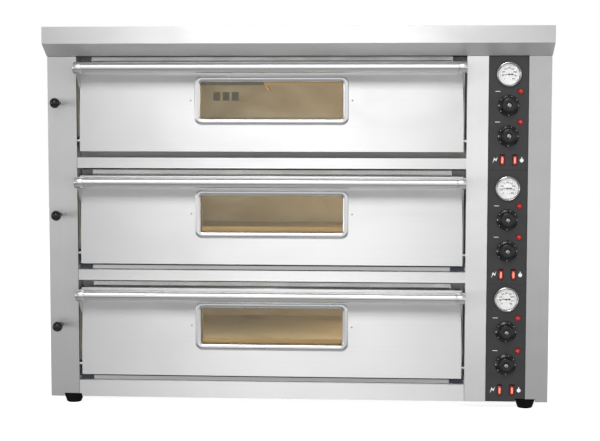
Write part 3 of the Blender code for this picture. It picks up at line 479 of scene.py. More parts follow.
MATERIALS = {
    "door": brushed_steel("brushed_door_steel", (0.8, 0.8, 0.8), 0.46, "X", 0.9),
    "upright": brushed_steel("brushed_upright_steel", (0.87, 0.87, 0.87), 0.42, "Z", 0.75),
    "casing": brushed_steel("brushed_casing_steel", (0.56, 0.56, 0.56), 0.45, "Z", 0.7),
    "hood": brushed_steel("brushed_hood_steel", (0.8, 0.8, 0.8), 0.46, "X", 0.9, True),
    "tube": polished_steel("polished_tube", (0.76, 0.76, 0.76), 0.29, (3.0, 12.0, 12.0)),
    "bezel": polished_steel("polished_bezel", (0.72, 0.72, 0.73), 0.28, (9.0,) * 3),
    "chrome": polished_steel("chrome_plate", (0.8, 0.8, 0.81), 0.06, (500.0,) * 3),
    "ring": polished_steel("gauge_ring", (0.5, 0.5, 0.51), 0.24, (30.0,) * 3),
    "screw": polished_steel("screw_steel", (0.5, 0.5, 0.51), 0.28, (900.0,) * 3),
    "chamber": chamber_steel(),
    "element": element_sheath(),
    "stone": firestone(),
    "glass": bronze_glass(),
    "clamp": brushed_steel("clamp_steel", (0.56, 0.44, 0.29), 0.42, "X"),
    # Dark copy of the clamp steel for the left strip above the top window: painted shade
    "shade": brushed_steel("shaded_clamp_steel", (0.1, 0.12, 0.14), 0.42, "X"),
    # Bright orange steel: painted highlight of the lamp on the probe
    "probe": brushed_steel("probe_painted_glint", (0.8, 0.55, 0.28), 0.35, "Z"),
    "cover": clear_cover(),
    "panel": panel_film(),
    "knob": phenolic("knob_phenolic", 0.26),
    "ball": phenolic("ball_phenolic", 0.12),
    "pilot": lit_lens("pilot_lens", (0.4, 0.012, 0.01), (1.0, 0.05, 0.03), 0.06),
    "rocker": lit_lens("rocker_lens", (0.26, 0.01, 0.008), (1.0, 0.05, 0.03), 0.05),
    "glow": lit_lens("rocker_glow", (0.75, 0.26, 0.18), (1.0, 0.27, 0.17), 0.36),
    "frame": ink("switch_frame_red", (0.035, 0.01, 0.01), 0.45),
    "white": ink("white_print", (0.74, 0.74, 0.74)),
    "mark": ink("mark_print", (0.42, 0.42, 0.42)),
    "black": ink("black_print", (0.02, 0.02, 0.02)),
    "dial": ink("dial_enamel", (0.64, 0.64, 0.63), 0.5),
    "needle": ink("needle_lacquer", (0.012, 0.012, 0.012), 0.35),
    "rubber": foot_rubber(),
    # Mid grey for the strip under each door and the corner pads: painted shade
    "seal": ink("painted_shade_grey", (0.38, 0.38, 0.37), 0.6),
    # Near black: painted shade of the flue openings; the brackets under the doors use it too
    "flue": ink("flue_opening", (0.02, 0.026, 0.038), 0.6),
    "galvanised": galvanised_sheet(),
    "lamp": lit_lens("oven_lamp_glass", (0.95, 0.8, 0.55), (1.0, 0.72, 0.4), 1.2),
    "floor": floor_paint(),
}


# --- Shapes ---


def ring_points(radius, height, steps):
    angles = [2 * math.pi * i / steps for i in range(steps)]
    return [Vector((radius * math.cos(angle), radius * math.sin(angle), height)) for angle in angles]


def bridge(bm, first, second):
    """Faces between two loops of the same length, or between a loop and a pole."""
    count = max(len(first), len(second))
    for i in range(count):
        j = (i + 1) % count
        ends = [(first, i), (first, j), (second, j), (second, i)]
        bm.faces.new(dict.fromkeys(loop[index % len(loop)] for loop, index in ends))


def add_loops(bm, loops, place, ring=False):
    """A skin over loops of points, closed by a pole or a cap at each end, or joined up as a ring."""
    made = [[bm.verts.new(place @ point) for point in loop] for loop in loops]
    for first, second in zip(made, made[1:]):
        bridge(bm, first, second)
    if ring:
        bridge(bm, made[-1], made[0])
        return
    for loop in (made[0], made[-1]):
        if len(loop) > 2:
            bm.faces.new(loop)


def add_turned(bm, profile, place, steps=48, ring=False):
    """A solid of revolution round local Z; the profile holds (radius, height) pairs."""
    loops = [
        ring_points(radius, height, steps) if radius > 0 else [Vector((0, 0, height))]
        for radius, height in profile
    ]
    add_loops(bm, loops, place, ring)


def rounded_loop(width, height, corner, level, steps=8):
    """A rounded rectangle, centred on local Z, at one height."""
    points = []
    for quarter, (sx, sy) in enumerate(((1, 1), (-1, 1), (-1, -1), (1, -1))):
        for i in range(steps + 1):
            angle = math.pi / 2 * (quarter + i / steps)
            x = sx * (width / 2 - corner) + corner * math.cos(angle)
            y = sy * (height / 2 - corner) + corner * math.sin(angle)
            points.append(Vector((x, y, level)))
    return points


def add_prism(bm, outline, low, high, place):
    """An outline of (x, y) points, extruded between two heights."""
    add_loops(bm, [[Vector((x, y, level)) for x, y in outline] for level in (low, high)], place)


def add_block(bm, low, high, place=FACING_UP):
    outline = [(low[0], low[1]), (high[0], low[1]), (high[0], high[1]), (low[0], high[1])]
    add_prism(bm, outline, low[2], high[2], place)


def round_edges(obj, width, segments=2, angle=30, harden=False):
    bevel = obj.modifiers.new("rounded_edges", "BEVEL")
    bevel.width = width
    bevel.segments = segments
    bevel.limit_method = "ANGLE"
    bevel.angle_limit = math.radians(angle)
    bevel.harden_normals = harden


def piece(name, bm, material, body, slot, replaces=(), rounding=0.0, sharp=38):
    """Turns a bmesh in the world's frame into a finished piece that rides on a body."""
    bmesh.ops.recalc_face_normals(bm, faces=bm.faces)
    mesh = bpy.data.meshes.new(name)
    bm.to_mesh(mesh)
    bm.free()
    mesh.shade_smooth()
    mesh.set_sharp_from_angle(angle=math.radians(sharp))
    mesh.materials.append(MATERIALS[material])
    obj = bpy.data.objects.new(name, mesh)
    bpy.context.scene.collection.objects.link(obj)
    if rounding:
        round_edges(obj, rounding)
    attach(obj, body)
    if replaces:
        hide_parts(*replaces)
    return obj


def turned_piece(name, profile, place, material, body, slot, steps=48, ring=False, **details):
    """A piece that is one solid of revolution."""
    bm = bmesh.new()
    add_turned(bm, profile, place, steps, ring)
    return piece(name, bm, material, body, slot, **details)


def boxed_piece(name, boxes, material, body, slot, rounding):
    """A piece made of upright boxes, each given by its low and its high corner."""
    bm = bmesh.new()
    for low, high in boxes:
        add_block(bm, low, high)
    return piece(name, bm, material, body, slot, rounding=rounding)


# --- CAD nodes that stay ---


SHARP_ANGLE = 30
SHEET_LOOKS = {
    "left_casing": ("casing", 0.001),
    "right_casing": ("casing", 0.0),
    "front_frame": ("upright", 0.0008),
    "base_tray": ("hood", 0.0008),
    "top_hood": ("hood", 0.0008),
    "back_panel": ("galvanised", 0.0003),
    "control_panel": ("panel", 0.0005),
}
DECK_LOOKS = {
    "chamber": ("chamber", 0.0),
    "stone_floor": ("stone", 0.002),
    "upper_element": ("element", 0.0),
    "lower_element": ("element", 0.0),
    "door_panel": ("door", 0.0008),
    "door_liner": ("chamber", 0.0012),
    "door_glass": ("glass", 0.0),
}
TUBE_NODES = ("upper_element", "lower_element")


def clean_shading():
    """Node group that merges split corners, drops imported normals and marks the sharp edges."""
    group = bpy.data.node_groups.new("clean_shading", "GeometryNodeTree")
    for direction in ("INPUT", "OUTPUT"):
        group.interface.new_socket("Geometry", in_out=direction, socket_type="NodeSocketGeometry")
    merge = group.nodes.new("GeometryNodeMergeByDistance")
    merge.inputs["Distance"].default_value = 0.00001
    forget = group.nodes.new("GeometryNodeRemoveAttribute")
    forget.inputs["Name"].default_value = "custom_normal"
    smooth = group.nodes.new("GeometryNodeSetShadeSmooth")
    crease = group.nodes.new("GeometryNodeSetShadeSmooth")
    crease.domain = "EDGE"
    crease.inputs["Shade Smooth"].default_value = False
    angle = group.nodes.new("GeometryNodeInputMeshEdgeAngle")
    sharp = group.nodes.new("FunctionNodeCompare")
    sharp.inputs["B"].default_value = math.radians(SHARP_ANGLE)
    group.links.new(angle.outputs["Unsigned Angle"], sharp.inputs["A"])
    group.links.new(sharp.outputs["Result"], crease.inputs["Selection"])
    start, end = (group.nodes.new(f"NodeGroup{side}") for side in ("Input", "Output"))
    steps = [start, merge, forget, smooth, crease, end]
    for first, second in zip(steps, steps[1:]):
        group.links.new(first.outputs[0], second.inputs[0])
    return group


def dress_node(name, look, rounding):
    """Gives a CAD node its material, cleans its shading and eases its edges."""
    node = frame["nodes"][name]
    node.data.materials.clear()
    node.data.materials.append(MATERIALS[look])
    node.modifiers.new("clean_shading", "NODES").node_group = CLEAN_SHADING
    if rounding:
        round_edges(node, rounding, harden=True)
    return node


def dress_nodes():
    for name, (look, rounding) in SHEET_LOOKS.items():
        dress_node(name, look, rounding)
    for deck in DECKS:
        for name, (look, rounding) in DECK_LOOKS.items():
            node = dress_node(f"{deck}_{name}", look, rounding)
            if name in TUBE_NODES:
                smooth = node.modifiers.new("round_tube", "SUBSURF")
                smooth.levels = smooth.render_levels = 1


# --- Doors ---


def build_handle(deck):
    """Polished tube with an end cap and a cap screw on each side."""
    node = f"{deck}_door_handle"
    low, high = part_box(node)
    half = (high.x - low.x) / 2
    cap = [
        (0.0, 0.0012), (0.0022, 0.0012), (0.0026, 0.0), (CAP_SCREW_RADIUS, 0.0004),
        (CAP_SCREW_RADIUS + 0.0006, 0.001), (CAP_RADIUS - 0.0022, 0.0006), (CAP_RADIUS - 0.0008, 0.0012),
        (CAP_RADIUS, 0.003), (CAP_RADIUS, CAP_LENGTH - 0.001), (CAP_RADIUS - 0.0006, CAP_LENGTH),
        (HANDLE_RADIUS - 0.0006, CAP_LENGTH + 0.0002), (HANDLE_RADIUS - 0.0006, CAP_LENGTH + 0.0012),
        (HANDLE_RADIUS, CAP_LENGTH + 0.0018),
    ]
    right = [(radius, half - inset) for radius, inset in cap]
    profile = right + [(radius, -height) for radius, height in reversed(right)]
    place = at((low + high) / 2, FACING_RIGHT)
    body = f"{deck}_door"
    turned_piece(f"{deck}_handle_tube", profile, place, "tube", body, "polished", 64, replaces=[node])


def build_bezel(deck):
    """Pressed window frame with a crowned rim that dips towards the glass."""
    node = f"{deck}_window_bezel"
    low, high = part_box(node)
    size = (high.x - low.x, high.z - low.z)
    proud = high.y - low.y
    middle = (low + high) / 2
    middle.y = high.y
    levels = [
        (0.0, 0.0), (0.0, 0.3), (0.001, 0.72), (0.003, 0.95), (0.0055, 1.0), (0.0085, 0.94), (0.0115, 0.74),
        (0.0133, 0.42), (0.014, 0.0),
    ]
    reach = levels[-1][0]
    loops = []
    for inset, share in levels:
        corner = BEZEL_CORNER + (SIGHT_CORNER - BEZEL_CORNER) * inset / reach
        loops.append(rounded_loop(size[0] - 2 * inset, size[1] - 2 * inset, corner, share * proud))
    bm = bmesh.new()
    add_loops(bm, loops, at(middle), ring=True)
    piece(f"{deck}_bezel_rim", bm, "bezel", f"{deck}_door", "polished", [node], sharp=60)


def add_screw(bm, place, radius=0.0022, proud=0.0012, steps=20):
    """A pan-head screw with a recess in its middle."""
    profile = [
        (0.0, 0.3 * proud), (0.3 * radius, 0.3 * proud), (0.42 * radius, proud),
        (0.7 * radius, 0.88 * proud), (0.95 * radius, 0.45 * proud), (radius, 0.0), (0.0, 0.0),
    ]
    add_turned(bm, profile, place, steps)


def build_bezel_screws(deck):
    low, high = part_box(f"{deck}_window_bezel")
    bm = bmesh.new()
    for x in (low.x - BEZEL_SCREW_GAP, high.x + BEZEL_SCREW_GAP):
        add_screw(bm, at((x, FRONT_FACE, (low.z + high.z) / 2)))
    piece(f"{deck}_bezel_screws", bm, "screw", f"{deck}_door", "brushed")


def clamp_space(deck):
    """Middle of a pane, half the length of its clamp and the clamp's front plane."""
    return middle_of(f"{deck}_door_glass"), SIGHT_SIZE[0] / 2 + 2 * CLAMP_OVERLAP, FRONT_FACE + CLAMP_SETBACK


def build_glass_clamp(deck):
    """Strip behind the pane that holds it in the door, along the foot of the two lower windows."""
    middle, half, front = clamp_space(deck)
    foot = middle.z - SIGHT_SIZE[1] / 2 - CLAMP_OVERLAP
    top = foot + CLAMP_HEIGHT + CLAMP_OVERLAP
    box = ((middle.x - half, front, foot), (middle.x + half, front + CLAMP_SHEET, top))
    boxed_piece(f"{deck}_glass_clamp", [box], "clamp", f"{deck}_door", "chamber", 0.0004)


def build_upper_clamp(deck):
    """Two strips along the top of the upper window: the left one in dark steel that paints shade, the right
    one in the clamp steel, lit by the lamp.
    """
    middle, half, front = clamp_space(deck)
    edge = middle.z + SIGHT_SIZE[1] / 2
    for side, material, start, end in (
        ("left", "shade", middle.x - half, CLAMP_SPLIT),
        ("right", "clamp", CLAMP_SPLIT + 0.001, middle.x + half),
    ):
        low = (start, front, edge - 0.6 * CLAMP_HEIGHT)
        high = (end, front + CLAMP_SHEET, edge + CLAMP_OVERLAP)
        boxed_piece(f"{deck}_{side}_clamp", [(low, high)], material, f"{deck}_door", "chamber", 0.0004)


def build_probe(deck):
    """Slanting sheath of the temperature probe, where the two strips meet; its bright orange colour is a
    painted highlight of the lamp.
    """
    depth = FRONT_FACE + PROBE_SETBACK
    base = deck_base(deck)
    top, foot = (Vector((x, depth, base + rise)) for x, rise in (PROBE_TOP, PROBE_FOOT))
    along = foot - top
    place = Matrix.Translation(top) @ along.to_track_quat("Z", "Y").to_matrix().to_4x4()
    rod = [(0.0, 0.0), (PROBE_RADIUS, 0.0005), (PROBE_RADIUS, along.length - 0.003), (0.0, along.length)]
    turned_piece(f"{deck}_probe", rod, place, "probe", f"{deck}_door", "chamber", 20)


def build_door(deck):
    build_handle(deck)
    build_bezel(deck)
    build_bezel_screws(deck)
    if deck == DECKS[0]:
        build_upper_clamp(deck)
        build_probe(deck)
    else:
        build_glass_clamp(deck)


# --- Controls ---


def dial_angle(share):
    return math.radians(DIAL_START - DIAL_SWEEP * share)


def add_dial_mark(bm, centre, share, stroke):
    """A radial stroke of the scale, from one radius to another."""
    turn = Matrix.Rotation(dial_angle(share), 4, "Z")
    half = STROKE_WIDTH / 2
    add_block(bm, (stroke[0], -half, 0.0), (stroke[1], half, 0.0001), centre @ turn)


def add_lettering(bm, text, size, place):
    """A number, centred on its place, as a thin raised print."""
    curve = bpy.data.curves.new("number", "FONT")
    curve.body = text
    curve.size = size
    curve.align_x = "CENTER"
    curve.align_y = "CENTER"
    curve.extrude = 0.00005
    curve.offset = 0.00012
    curve.resolution_u = 2
    letter = bpy.data.objects.new("number", curve)
    bpy.context.scene.collection.objects.link(letter)
    bpy.context.view_layer.update()
    mesh = letter.evaluated_get(bpy.context.evaluated_depsgraph_get()).to_mesh()
    vertices = [bm.verts.new(place @ vertex.co) for vertex in mesh.vertices]
    for polygon in mesh.polygons:
        bm.faces.new([vertices[i] for i in polygon.vertices])
    bpy.data.objects.remove(letter)
    bpy.data.curves.remove(curve)


def build_dial(deck, centre):
    """Enamelled disc with its printed scale."""
    disc = [(0.0, 0.003), (DIAL_RADIUS - 0.0004, 0.003), (DIAL_RADIUS, 0.0026), (0.0, 0.0026)]
    turned_piece(f"{deck}_dial_plate", disc, at(centre), "dial", "root", "chrome", 64)
    face = at(centre) @ Matrix.Translation((0, 0, DIAL_FACE_RISE))
    bm = bmesh.new()
    for step in range(DIAL_STEPS + 1):
        stroke = SHORT_STROKE if step % DIAL_LONG_STEP else LONG_STROKE
        add_dial_mark(bm, face, step / DIAL_STEPS, stroke)
    for i, number in enumerate(DIAL_NUMBERS):
        angle = dial_angle(i / (len(DIAL_NUMBERS) - 1))
        x, y = DIAL_NUMBER_RADIUS * math.cos(angle), DIAL_NUMBER_RADIUS * math.sin(angle)
        add_lettering(bm, str(number), DIAL_NUMBER_SIZE, face @ Matrix.Translation((x, y, 0.00005)))
    piece(f"{deck}_dial_scale", bm, "black", "root", "needle")


def build_thermometer(deck):
    """Chromed case and bezel, dial, cover glass and pointer."""
    low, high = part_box(f"{deck}_thermometer_case")
    centre = joint_place(f"{deck}_needle_pivot")
    centre.y = PANEL_FACE
    radius = (high.x - low.x) / 2
    case = [
        (0.0, 0.0022), (0.0256, 0.0022), (0.0256, 0.0064), (0.0264, 0.0078), (0.028, 0.0085),
        (0.0292, 0.008), (radius, 0.0062), (radius, 0.0006), (radius - 0.0012, 0.0003), (0.025, 0.0003),
        (0.025, -0.02), (0.0235, -0.024), (0.0, -0.024),
    ]
    node = f"{deck}_thermometer_case"
    name = f"{deck}_thermometer_bezel"
    turned_piece(name, case, at(centre), "ring", "root", "chrome", 72, replaces=[node])
    build_dial(deck, centre)
    glass = [(0.0, 0.0066), (0.0255, 0.006), (0.0255, 0.0054), (0.0, 0.006)]
    cover = turned_piece(f"{deck}_thermometer_cover", glass, at(centre), "cover", "root", "glass", 64)
    cover.visible_shadow = False
    build_pointer(deck, centre)


def build_pointer(deck, centre):
    """Pointer to the left, with a broad tail and a domed hub."""
    face = at(centre) @ Matrix.Translation((0, 0, POINTER_RISE))
    outline = [(-0.0205, 0.0), (-0.002, 0.0007), (0.0035, 0.0008), (0.0065, 0.0021), (0.01, 0.0014)]
    outline += [(x, -y) for x, y in reversed(outline[1:])]
    hub = [(0.0, 0.0012), (0.0014, 0.001), (0.0021, 0.0004), (0.0021, -0.0006), (0.0, -0.0006)]
    bm = bmesh.new()
    add_prism(bm, outline, 0.0, 0.0005, face)
    add_turned(bm, hub, face, 24)
    node = f"{deck}_thermometer_needle"
    piece(f"{deck}_pointer", bm, "needle", f"{deck}_needle", "needle", [node])


def round_the_axis(angle, radius):
    """A place at some radius from local Z, turned with it."""
    return Matrix.Rotation(angle, 4, "Z") @ Matrix.Translation((radius, 0, 0))


def build_knob(deck, level):
    """Skirted knob with a fluted grip, a bright insert with its slot and a printed ring of marks."""
    node = f"{deck}_{level}_heat_knob"
    body = f"{deck}_{level}_knob"
    centre = joint_place(f"{deck}_{level}_knob_turn")
    centre.y = PANEL_FACE
    place = at(centre)
    profile = [
        (0.0, 0.0222), (0.0052, 0.0222), (0.0058, 0.0233), (0.007, 0.0238), (0.0164, 0.0238),
        (0.0175, 0.0231), (0.018, 0.0216), (0.0185, 0.0085), (0.0189, 0.0064), (0.0205, 0.0052),
        (0.024, 0.0042), (0.0256, 0.003), (0.026, 0.0012), (0.024, 0.001), (0.003, 0.001), (0.003, -0.02),
        (0.0, -0.02),
    ]
    bm = bmesh.new()
    add_turned(bm, profile, place, 72)
    flute = [(0.0, 0.0196), (0.0009, 0.019), (0.0011, 0.007), (0.0, 0.006)]
    for i in range(KNOB_FLUTES):
        add_turned(bm, flute, place @ round_the_axis(2 * math.pi * i / KNOB_FLUTES, FLUTE_RADIUS), 8)
    piece(f"{deck}_{level}_knob_body", bm, "knob", body, "black", [node])
    insert = [(0.0, 0.0231), (0.003, 0.023), (0.0046, 0.0226), (0.005, 0.0218), (0.0, 0.0216)]
    turned_piece(f"{deck}_{level}_knob_insert", insert, place, "screw", body, "chrome", 40)
    bm = bmesh.new()
    turned = place @ Matrix.Rotation(SLOT_ANGLE, 4, "Z")
    add_block(bm, (-0.004, -0.0007, 0.0226), (0.004, 0.0007, 0.0233), turned)
    piece(f"{deck}_{level}_knob_slot", bm, "black", body, "needle", rounding=0.0002)
    build_knob_marks(deck, level, place, body)


def build_knob_marks(deck, level, place, body):
    """White dots round the skirt, with a bigger one for off."""
    bm = bmesh.new()
    for degrees in MARK_ANGLES:
        radius = 0.0018 if degrees == OFF_ANGLE else 0.0011
        dot = [(0.0, 0.0048), (0.7 * radius, 0.0047), (radius, 0.0044), (radius, 0.003), (0.0, 0.003)]
        add_turned(bm, dot, place @ round_the_axis(math.radians(degrees), KNOB_MARK_RADIUS), 16)
    piece(f"{deck}_{level}_knob_marks", bm, "mark", body, "panel")


def build_pilot(deck, level):
    """Faceted red pilot lamp in its clip-in socket."""
    centre = joint_place(f"{deck}_{level}_knob_turn")
    spot = Vector((PANEL_MIDDLE + PILOT_OFFSET, PANEL_FACE, centre.z + PILOT_RISE))
    profile = [
        (0.0, 0.0078), (0.0022, 0.0073), (0.0042, 0.006), (0.0057, 0.0042), (0.0065, 0.0026),
        (0.0067, 0.0016), (0.0048, 0.0014), (0.0048, -0.012), (0.0, -0.012),
    ]
    turned_piece(f"{deck}_{level}_pilot_lens", profile, at(spot), "pilot", "root", "lens", 24)
    socket = [(0.0068, 0.0002), (0.0073, 0.0006), (0.0071, 0.0014), (0.0068, 0.0014)]
    turned_piece(f"{deck}_{level}_pilot_ring", socket, at(spot), "frame", "root", "lens", 32, True)


def build_switch(deck, role):
    """Snap-in frame and a lit rocker that is tilted to its on position."""
    node = f"{deck}_{role}_rocker"
    spot = Vector((middle_of(node).x, PANEL_FACE, joint_place(f"{deck}_{role}_rocker_tilt").z))
    bm = bmesh.new()
    rim = [
        (0.01, 0.0226, 0.0012, 0.0), (0.0124, 0.026, 0.0022, 0.0), (0.0122, 0.0258, 0.0022, 0.0012),
        (0.0114, 0.0248, 0.0018, 0.002), (0.01, 0.0226, 0.0012, 0.0018),
    ]
    add_loops(bm, [rounded_loop(*level, ROCKER_STEPS) for level in rim], at(spot), ring=True)
    piece(f"{deck}_{role}_switch_frame", bm, "frame", "root", "lens")
    build_rocker(deck, role, spot, node)


def build_rocker(deck, role, spot, node):
    """Rocker cap, seen from its side as (height, reach), with its lit window."""
    pivot = joint_place(f"{deck}_{role}_rocker_tilt")
    pivot.x = spot.x
    tilt = Matrix.Translation(pivot) @ Matrix.Rotation(ROCKER_TILT, 4, "X") @ FACING_FRONT
    side = tilt @ Matrix(((0, 0, 1, 0), (1, 0, 0, 0), (0, 1, 0, 0), (0, 0, 0, 1)))
    outline = [(-0.0106, -0.001), (0.0106, -0.001), (0.0108, 0.006), (0.007, 0.0062), (0.0, 0.0056)]
    outline += [(-0.007, 0.0062), (-0.0108, 0.006)]
    body = f"{deck}_{role}_rocker"
    bm = bmesh.new()
    add_prism(bm, outline, -0.0046, 0.0046, side)
    piece(f"{deck}_{role}_rocker_cap", bm, "rocker", body, "lens", [node], rounding=0.0014)
    bm = bmesh.new()
    window = [
        (0.0048, 0.0154, 0.0022, 0.005), (0.0048, 0.0154, 0.0022, 0.0066), (0.0036, 0.0142, 0.0017, 0.0071),
    ]
    add_loops(bm, [rounded_loop(*level, ROCKER_STEPS) for level in window], tilt)
    piece(f"{deck}_{role}_rocker_window", bm, "glow", body, "lens")


def build_prints(deck):
    """White strokes beside the pilots, the flash for the elements and the lamp for the light."""
    bm = bmesh.new()
    for level in LEVELS:
        height = joint_place(f"{deck}_{level}_knob_turn").z + PILOT_RISE
        spot = at((PANEL_MIDDLE + DASH_OFFSET, PANEL_FACE, height))
        half = (DASH_SIZE[0] / 2, DASH_SIZE[1] / 2)
        add_block(bm, (-half[0], -half[1], PRINT_LEVELS[0]), (half[0], half[1], PRINT_LEVELS[1]), spot)
    switch = joint_place(f"{deck}_power_rocker_tilt").z
    flash = [
        (0.0062, 0.0078), (0.0028, -0.0038), (-0.0012, 0.0008), (-0.0062, -0.0088), (-0.0022, 0.006),
        (0.0016, 0.0012),
    ]
    add_prism(bm, flash, *PRINT_LEVELS, at((PANEL_MIDDLE + FLASH_OFFSET, PANEL_FACE, switch)))
    lamp = [(0.0009, 0.0072), (0.0012, 0.003)]
    lamp += [(0.0047 * math.cos(math.radians(a)), -0.001 + 0.0047 * math.sin(math.radians(a)))
             for a in range(55, -90, -18)]
    lamp += [(0.0012, -0.0062)]
    lamp += [(-x, y) for x, y in reversed(lamp)]
    add_prism(bm, lamp, *PRINT_LEVELS, at((PANEL_MIDDLE + LAMP_OFFSET, PANEL_FACE, switch)))
    piece(f"{deck}_panel_prints", bm, "white", "root", "panel")


def build_controls(deck):
    build_thermometer(deck)
    for level in LEVELS:
        build_knob(deck, level)
        build_pilot(deck, level)
    for role in ("power", "light"):
        build_switch(deck, role)
    build_prints(deck)


# --- Body ---


def build_damper(deck):
    """Ball knob on its ferrule and rod, with the arm and blade that work the steam vent."""
    node = f"{deck}_damper_pull"
    low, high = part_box(node)
    front = Vector((low.x + BALL_RADIUS, FRONT_FACE, middle_of(node).z))
    reach = FRONT_FACE - low.y - BALL_RADIUS
    place = at(front)
    arc = [math.radians(degrees) for degrees in range(84, -66, -6)]
    ball = [(BALL_RADIUS * math.cos(angle), reach + BALL_RADIUS * math.sin(angle)) for angle in arc]
    ball = [(0.0, reach + BALL_RADIUS)] + ball + [(0.0, ball[-1][1])]
    body = f"{deck}_damper"
    turned_piece(f"{deck}_damper_ball", ball, place, "ball", body, "black", 40)
    blade_y = high.y - HALF_BLADE
    depth = FRONT_FACE - blade_y
    bm = bmesh.new()
    rod = [(0.0, reach - 0.01), (0.0065, reach - 0.01), (0.0065, reach - 0.0195)]
    rod += [(0.0055, reach - 0.0205), (0.004, reach - 0.0205), (0.004, depth - 0.004), (0.0, depth - 0.004)]
    add_turned(bm, rod, place, 32)
    arm_high = (high.x - 0.001, blade_y + 0.002, front.z + 0.005)
    add_block(bm, (front.x, blade_y - 0.002, front.z - 0.005), arm_high)
    blade_low = (high.x - 0.002, blade_y - HALF_BLADE, front.z - HALF_BLADE)
    add_block(bm, blade_low, (high.x, blade_y + HALF_BLADE, front.z + HALF_BLADE))
    piece(f"{deck}_damper_rod", bm, "screw", body, "black", [node], rounding=0.0003)


def build_feet():
    """Tapered rubber feet with a hollow underneath."""
    for name in ("front_left", "front_right", "rear_left", "rear_right"):
        node = f"{name}_foot"
        low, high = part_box(node)
        middle = (low + high) / 2
        middle.z = 0.0
        height = high.z
        top = (high.x - low.x) / 2
        profile = [
            (0.0, 0.0006), (0.006, 0.0006), (0.007, 0.0), (0.0165, 0.0), (0.018, 0.0012),
            (top, height - 0.003), (top, height - 0.0008), (top - 0.0008, height), (0.0, height),
        ]
        place = at(middle, FACING_UP)
        turned_piece(f"{name}_foot_rubber", profile, place, "rubber", "root", "rubber", replaces=[node])


def build_gland():
    """Cable gland with a hexagonal nut and a domed seal."""
    middle = middle_of("cable_gland")
    middle.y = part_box("back_panel")[1].y
    place = at(middle, FACING_BACK)
    nut = [(0.006, 0.0003), (0.0168, 0.0003), (0.0168, 0.005), (0.006, 0.005)]
    turned_piece("gland_nut", nut, place, "knob", "root", "black", 6, True, replaces=["cable_gland"],
                 rounding=0.0005)
    dome = [
        (0.0058, -0.0155), (0.0096, -0.0155), (0.0096, 0.0052), (0.0136, 0.0056), (0.0138, 0.017),
        (0.0118, 0.0225), (0.009, 0.0248), (0.0058, 0.0248),
    ]
    turned_piece("gland_dome", dome, place, "knob", "root", "black", 40, True)


def build_spot_welds():
    """Dimples of the spot welds along the strip above the two lower doors."""
    weld = [(0.0, 0.0004), (0.0012, 0.0003), (0.002, 0.0001), (0.002, 0.0)]
    for deck in DECKS[1:]:
        bm = bmesh.new()
        for i in range(WELD_COUNT):
            spot = (WELD_START + WELD_PITCH * i, FRONT_FACE + WELD_SETBACK, deck_base(deck) + WELD_RISE)
            add_turned(bm, weld, at(spot), 16)
        piece(f"{deck}_spot_welds", bm, "screw", "root", "chamber")


def casing_screw_places():
    """Screws of the two side panels and of the back, as (place, facing)."""
    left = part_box("left_casing")[0]
    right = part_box("right_casing")[1]
    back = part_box("back_panel")
    places = []
    for height in SIDE_SCREW_HEIGHTS:
        for y in (back[1].y - SIDE_SCREW_BACK_GAP, FRONT_FACE + SIDE_SCREW_SETBACK):
            places.append(((left.x, y, height), FACING_LEFT))
            places.append(((right.x, y, height), FACING_RIGHT))
    for x in BACK_SCREW_PLACES:
        for height in BACK_SCREW_HEIGHTS:
            places.append(((x, back[1].y, height), FACING_BACK))
    return places


def build_casing_screws():
    bm = bmesh.new()
    for place, facing in casing_screw_places():
        inward = Vector(place) - (facing @ Vector((0, 0, 0.001)))
        add_screw(bm, at(inward, facing), 0.004, 0.0014)
    piece("casing_screws", bm, "screw", "root", "brushed")


def build_oven_lamp(deck):
    """Lamp glass in its ring on the right wall of the baking chamber."""
    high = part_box(f"{deck}_stone_floor")[1]
    place = at(high + Vector(OVEN_LAMP_OFFSET), FACING_LEFT)
    glass = [(0.0, 0.014), (0.01, 0.0125), (0.018, 0.008), (0.02, 0.002), (0.0, 0.002)]
    turned_piece(f"{deck}_lamp_glass", glass, place, "lamp", "root", "glass", 32)
    ring = [(0.0205, 0.0005), (0.025, 0.0005), (0.0245, 0.004), (0.0205, 0.005)]
    turned_piece(f"{deck}_lamp_ring", ring, place, "screw", "root", "chamber", 32, True)


def build_flues(deck):
    """Three square flue openings in the back wall of the baking chamber, drawn as thin near-black boxes that
    paint the shade inside the openings.
    """
    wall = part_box(f"{deck}_chamber")[1].y - 0.002
    z = deck_base(deck) + FLUE_RISE
    boxes = []
    for i in range(FLUE_COUNT):
        x = FLUE_START + FLUE_PITCH * i
        boxes.append(((x, wall - 0.001, z), (x + FLUE_SIZE[0], wall, z + FLUE_SIZE[1])))
    boxed_piece(f"{deck}_flue_openings", boxes, "flue", "root", "chamber", 0.0002)


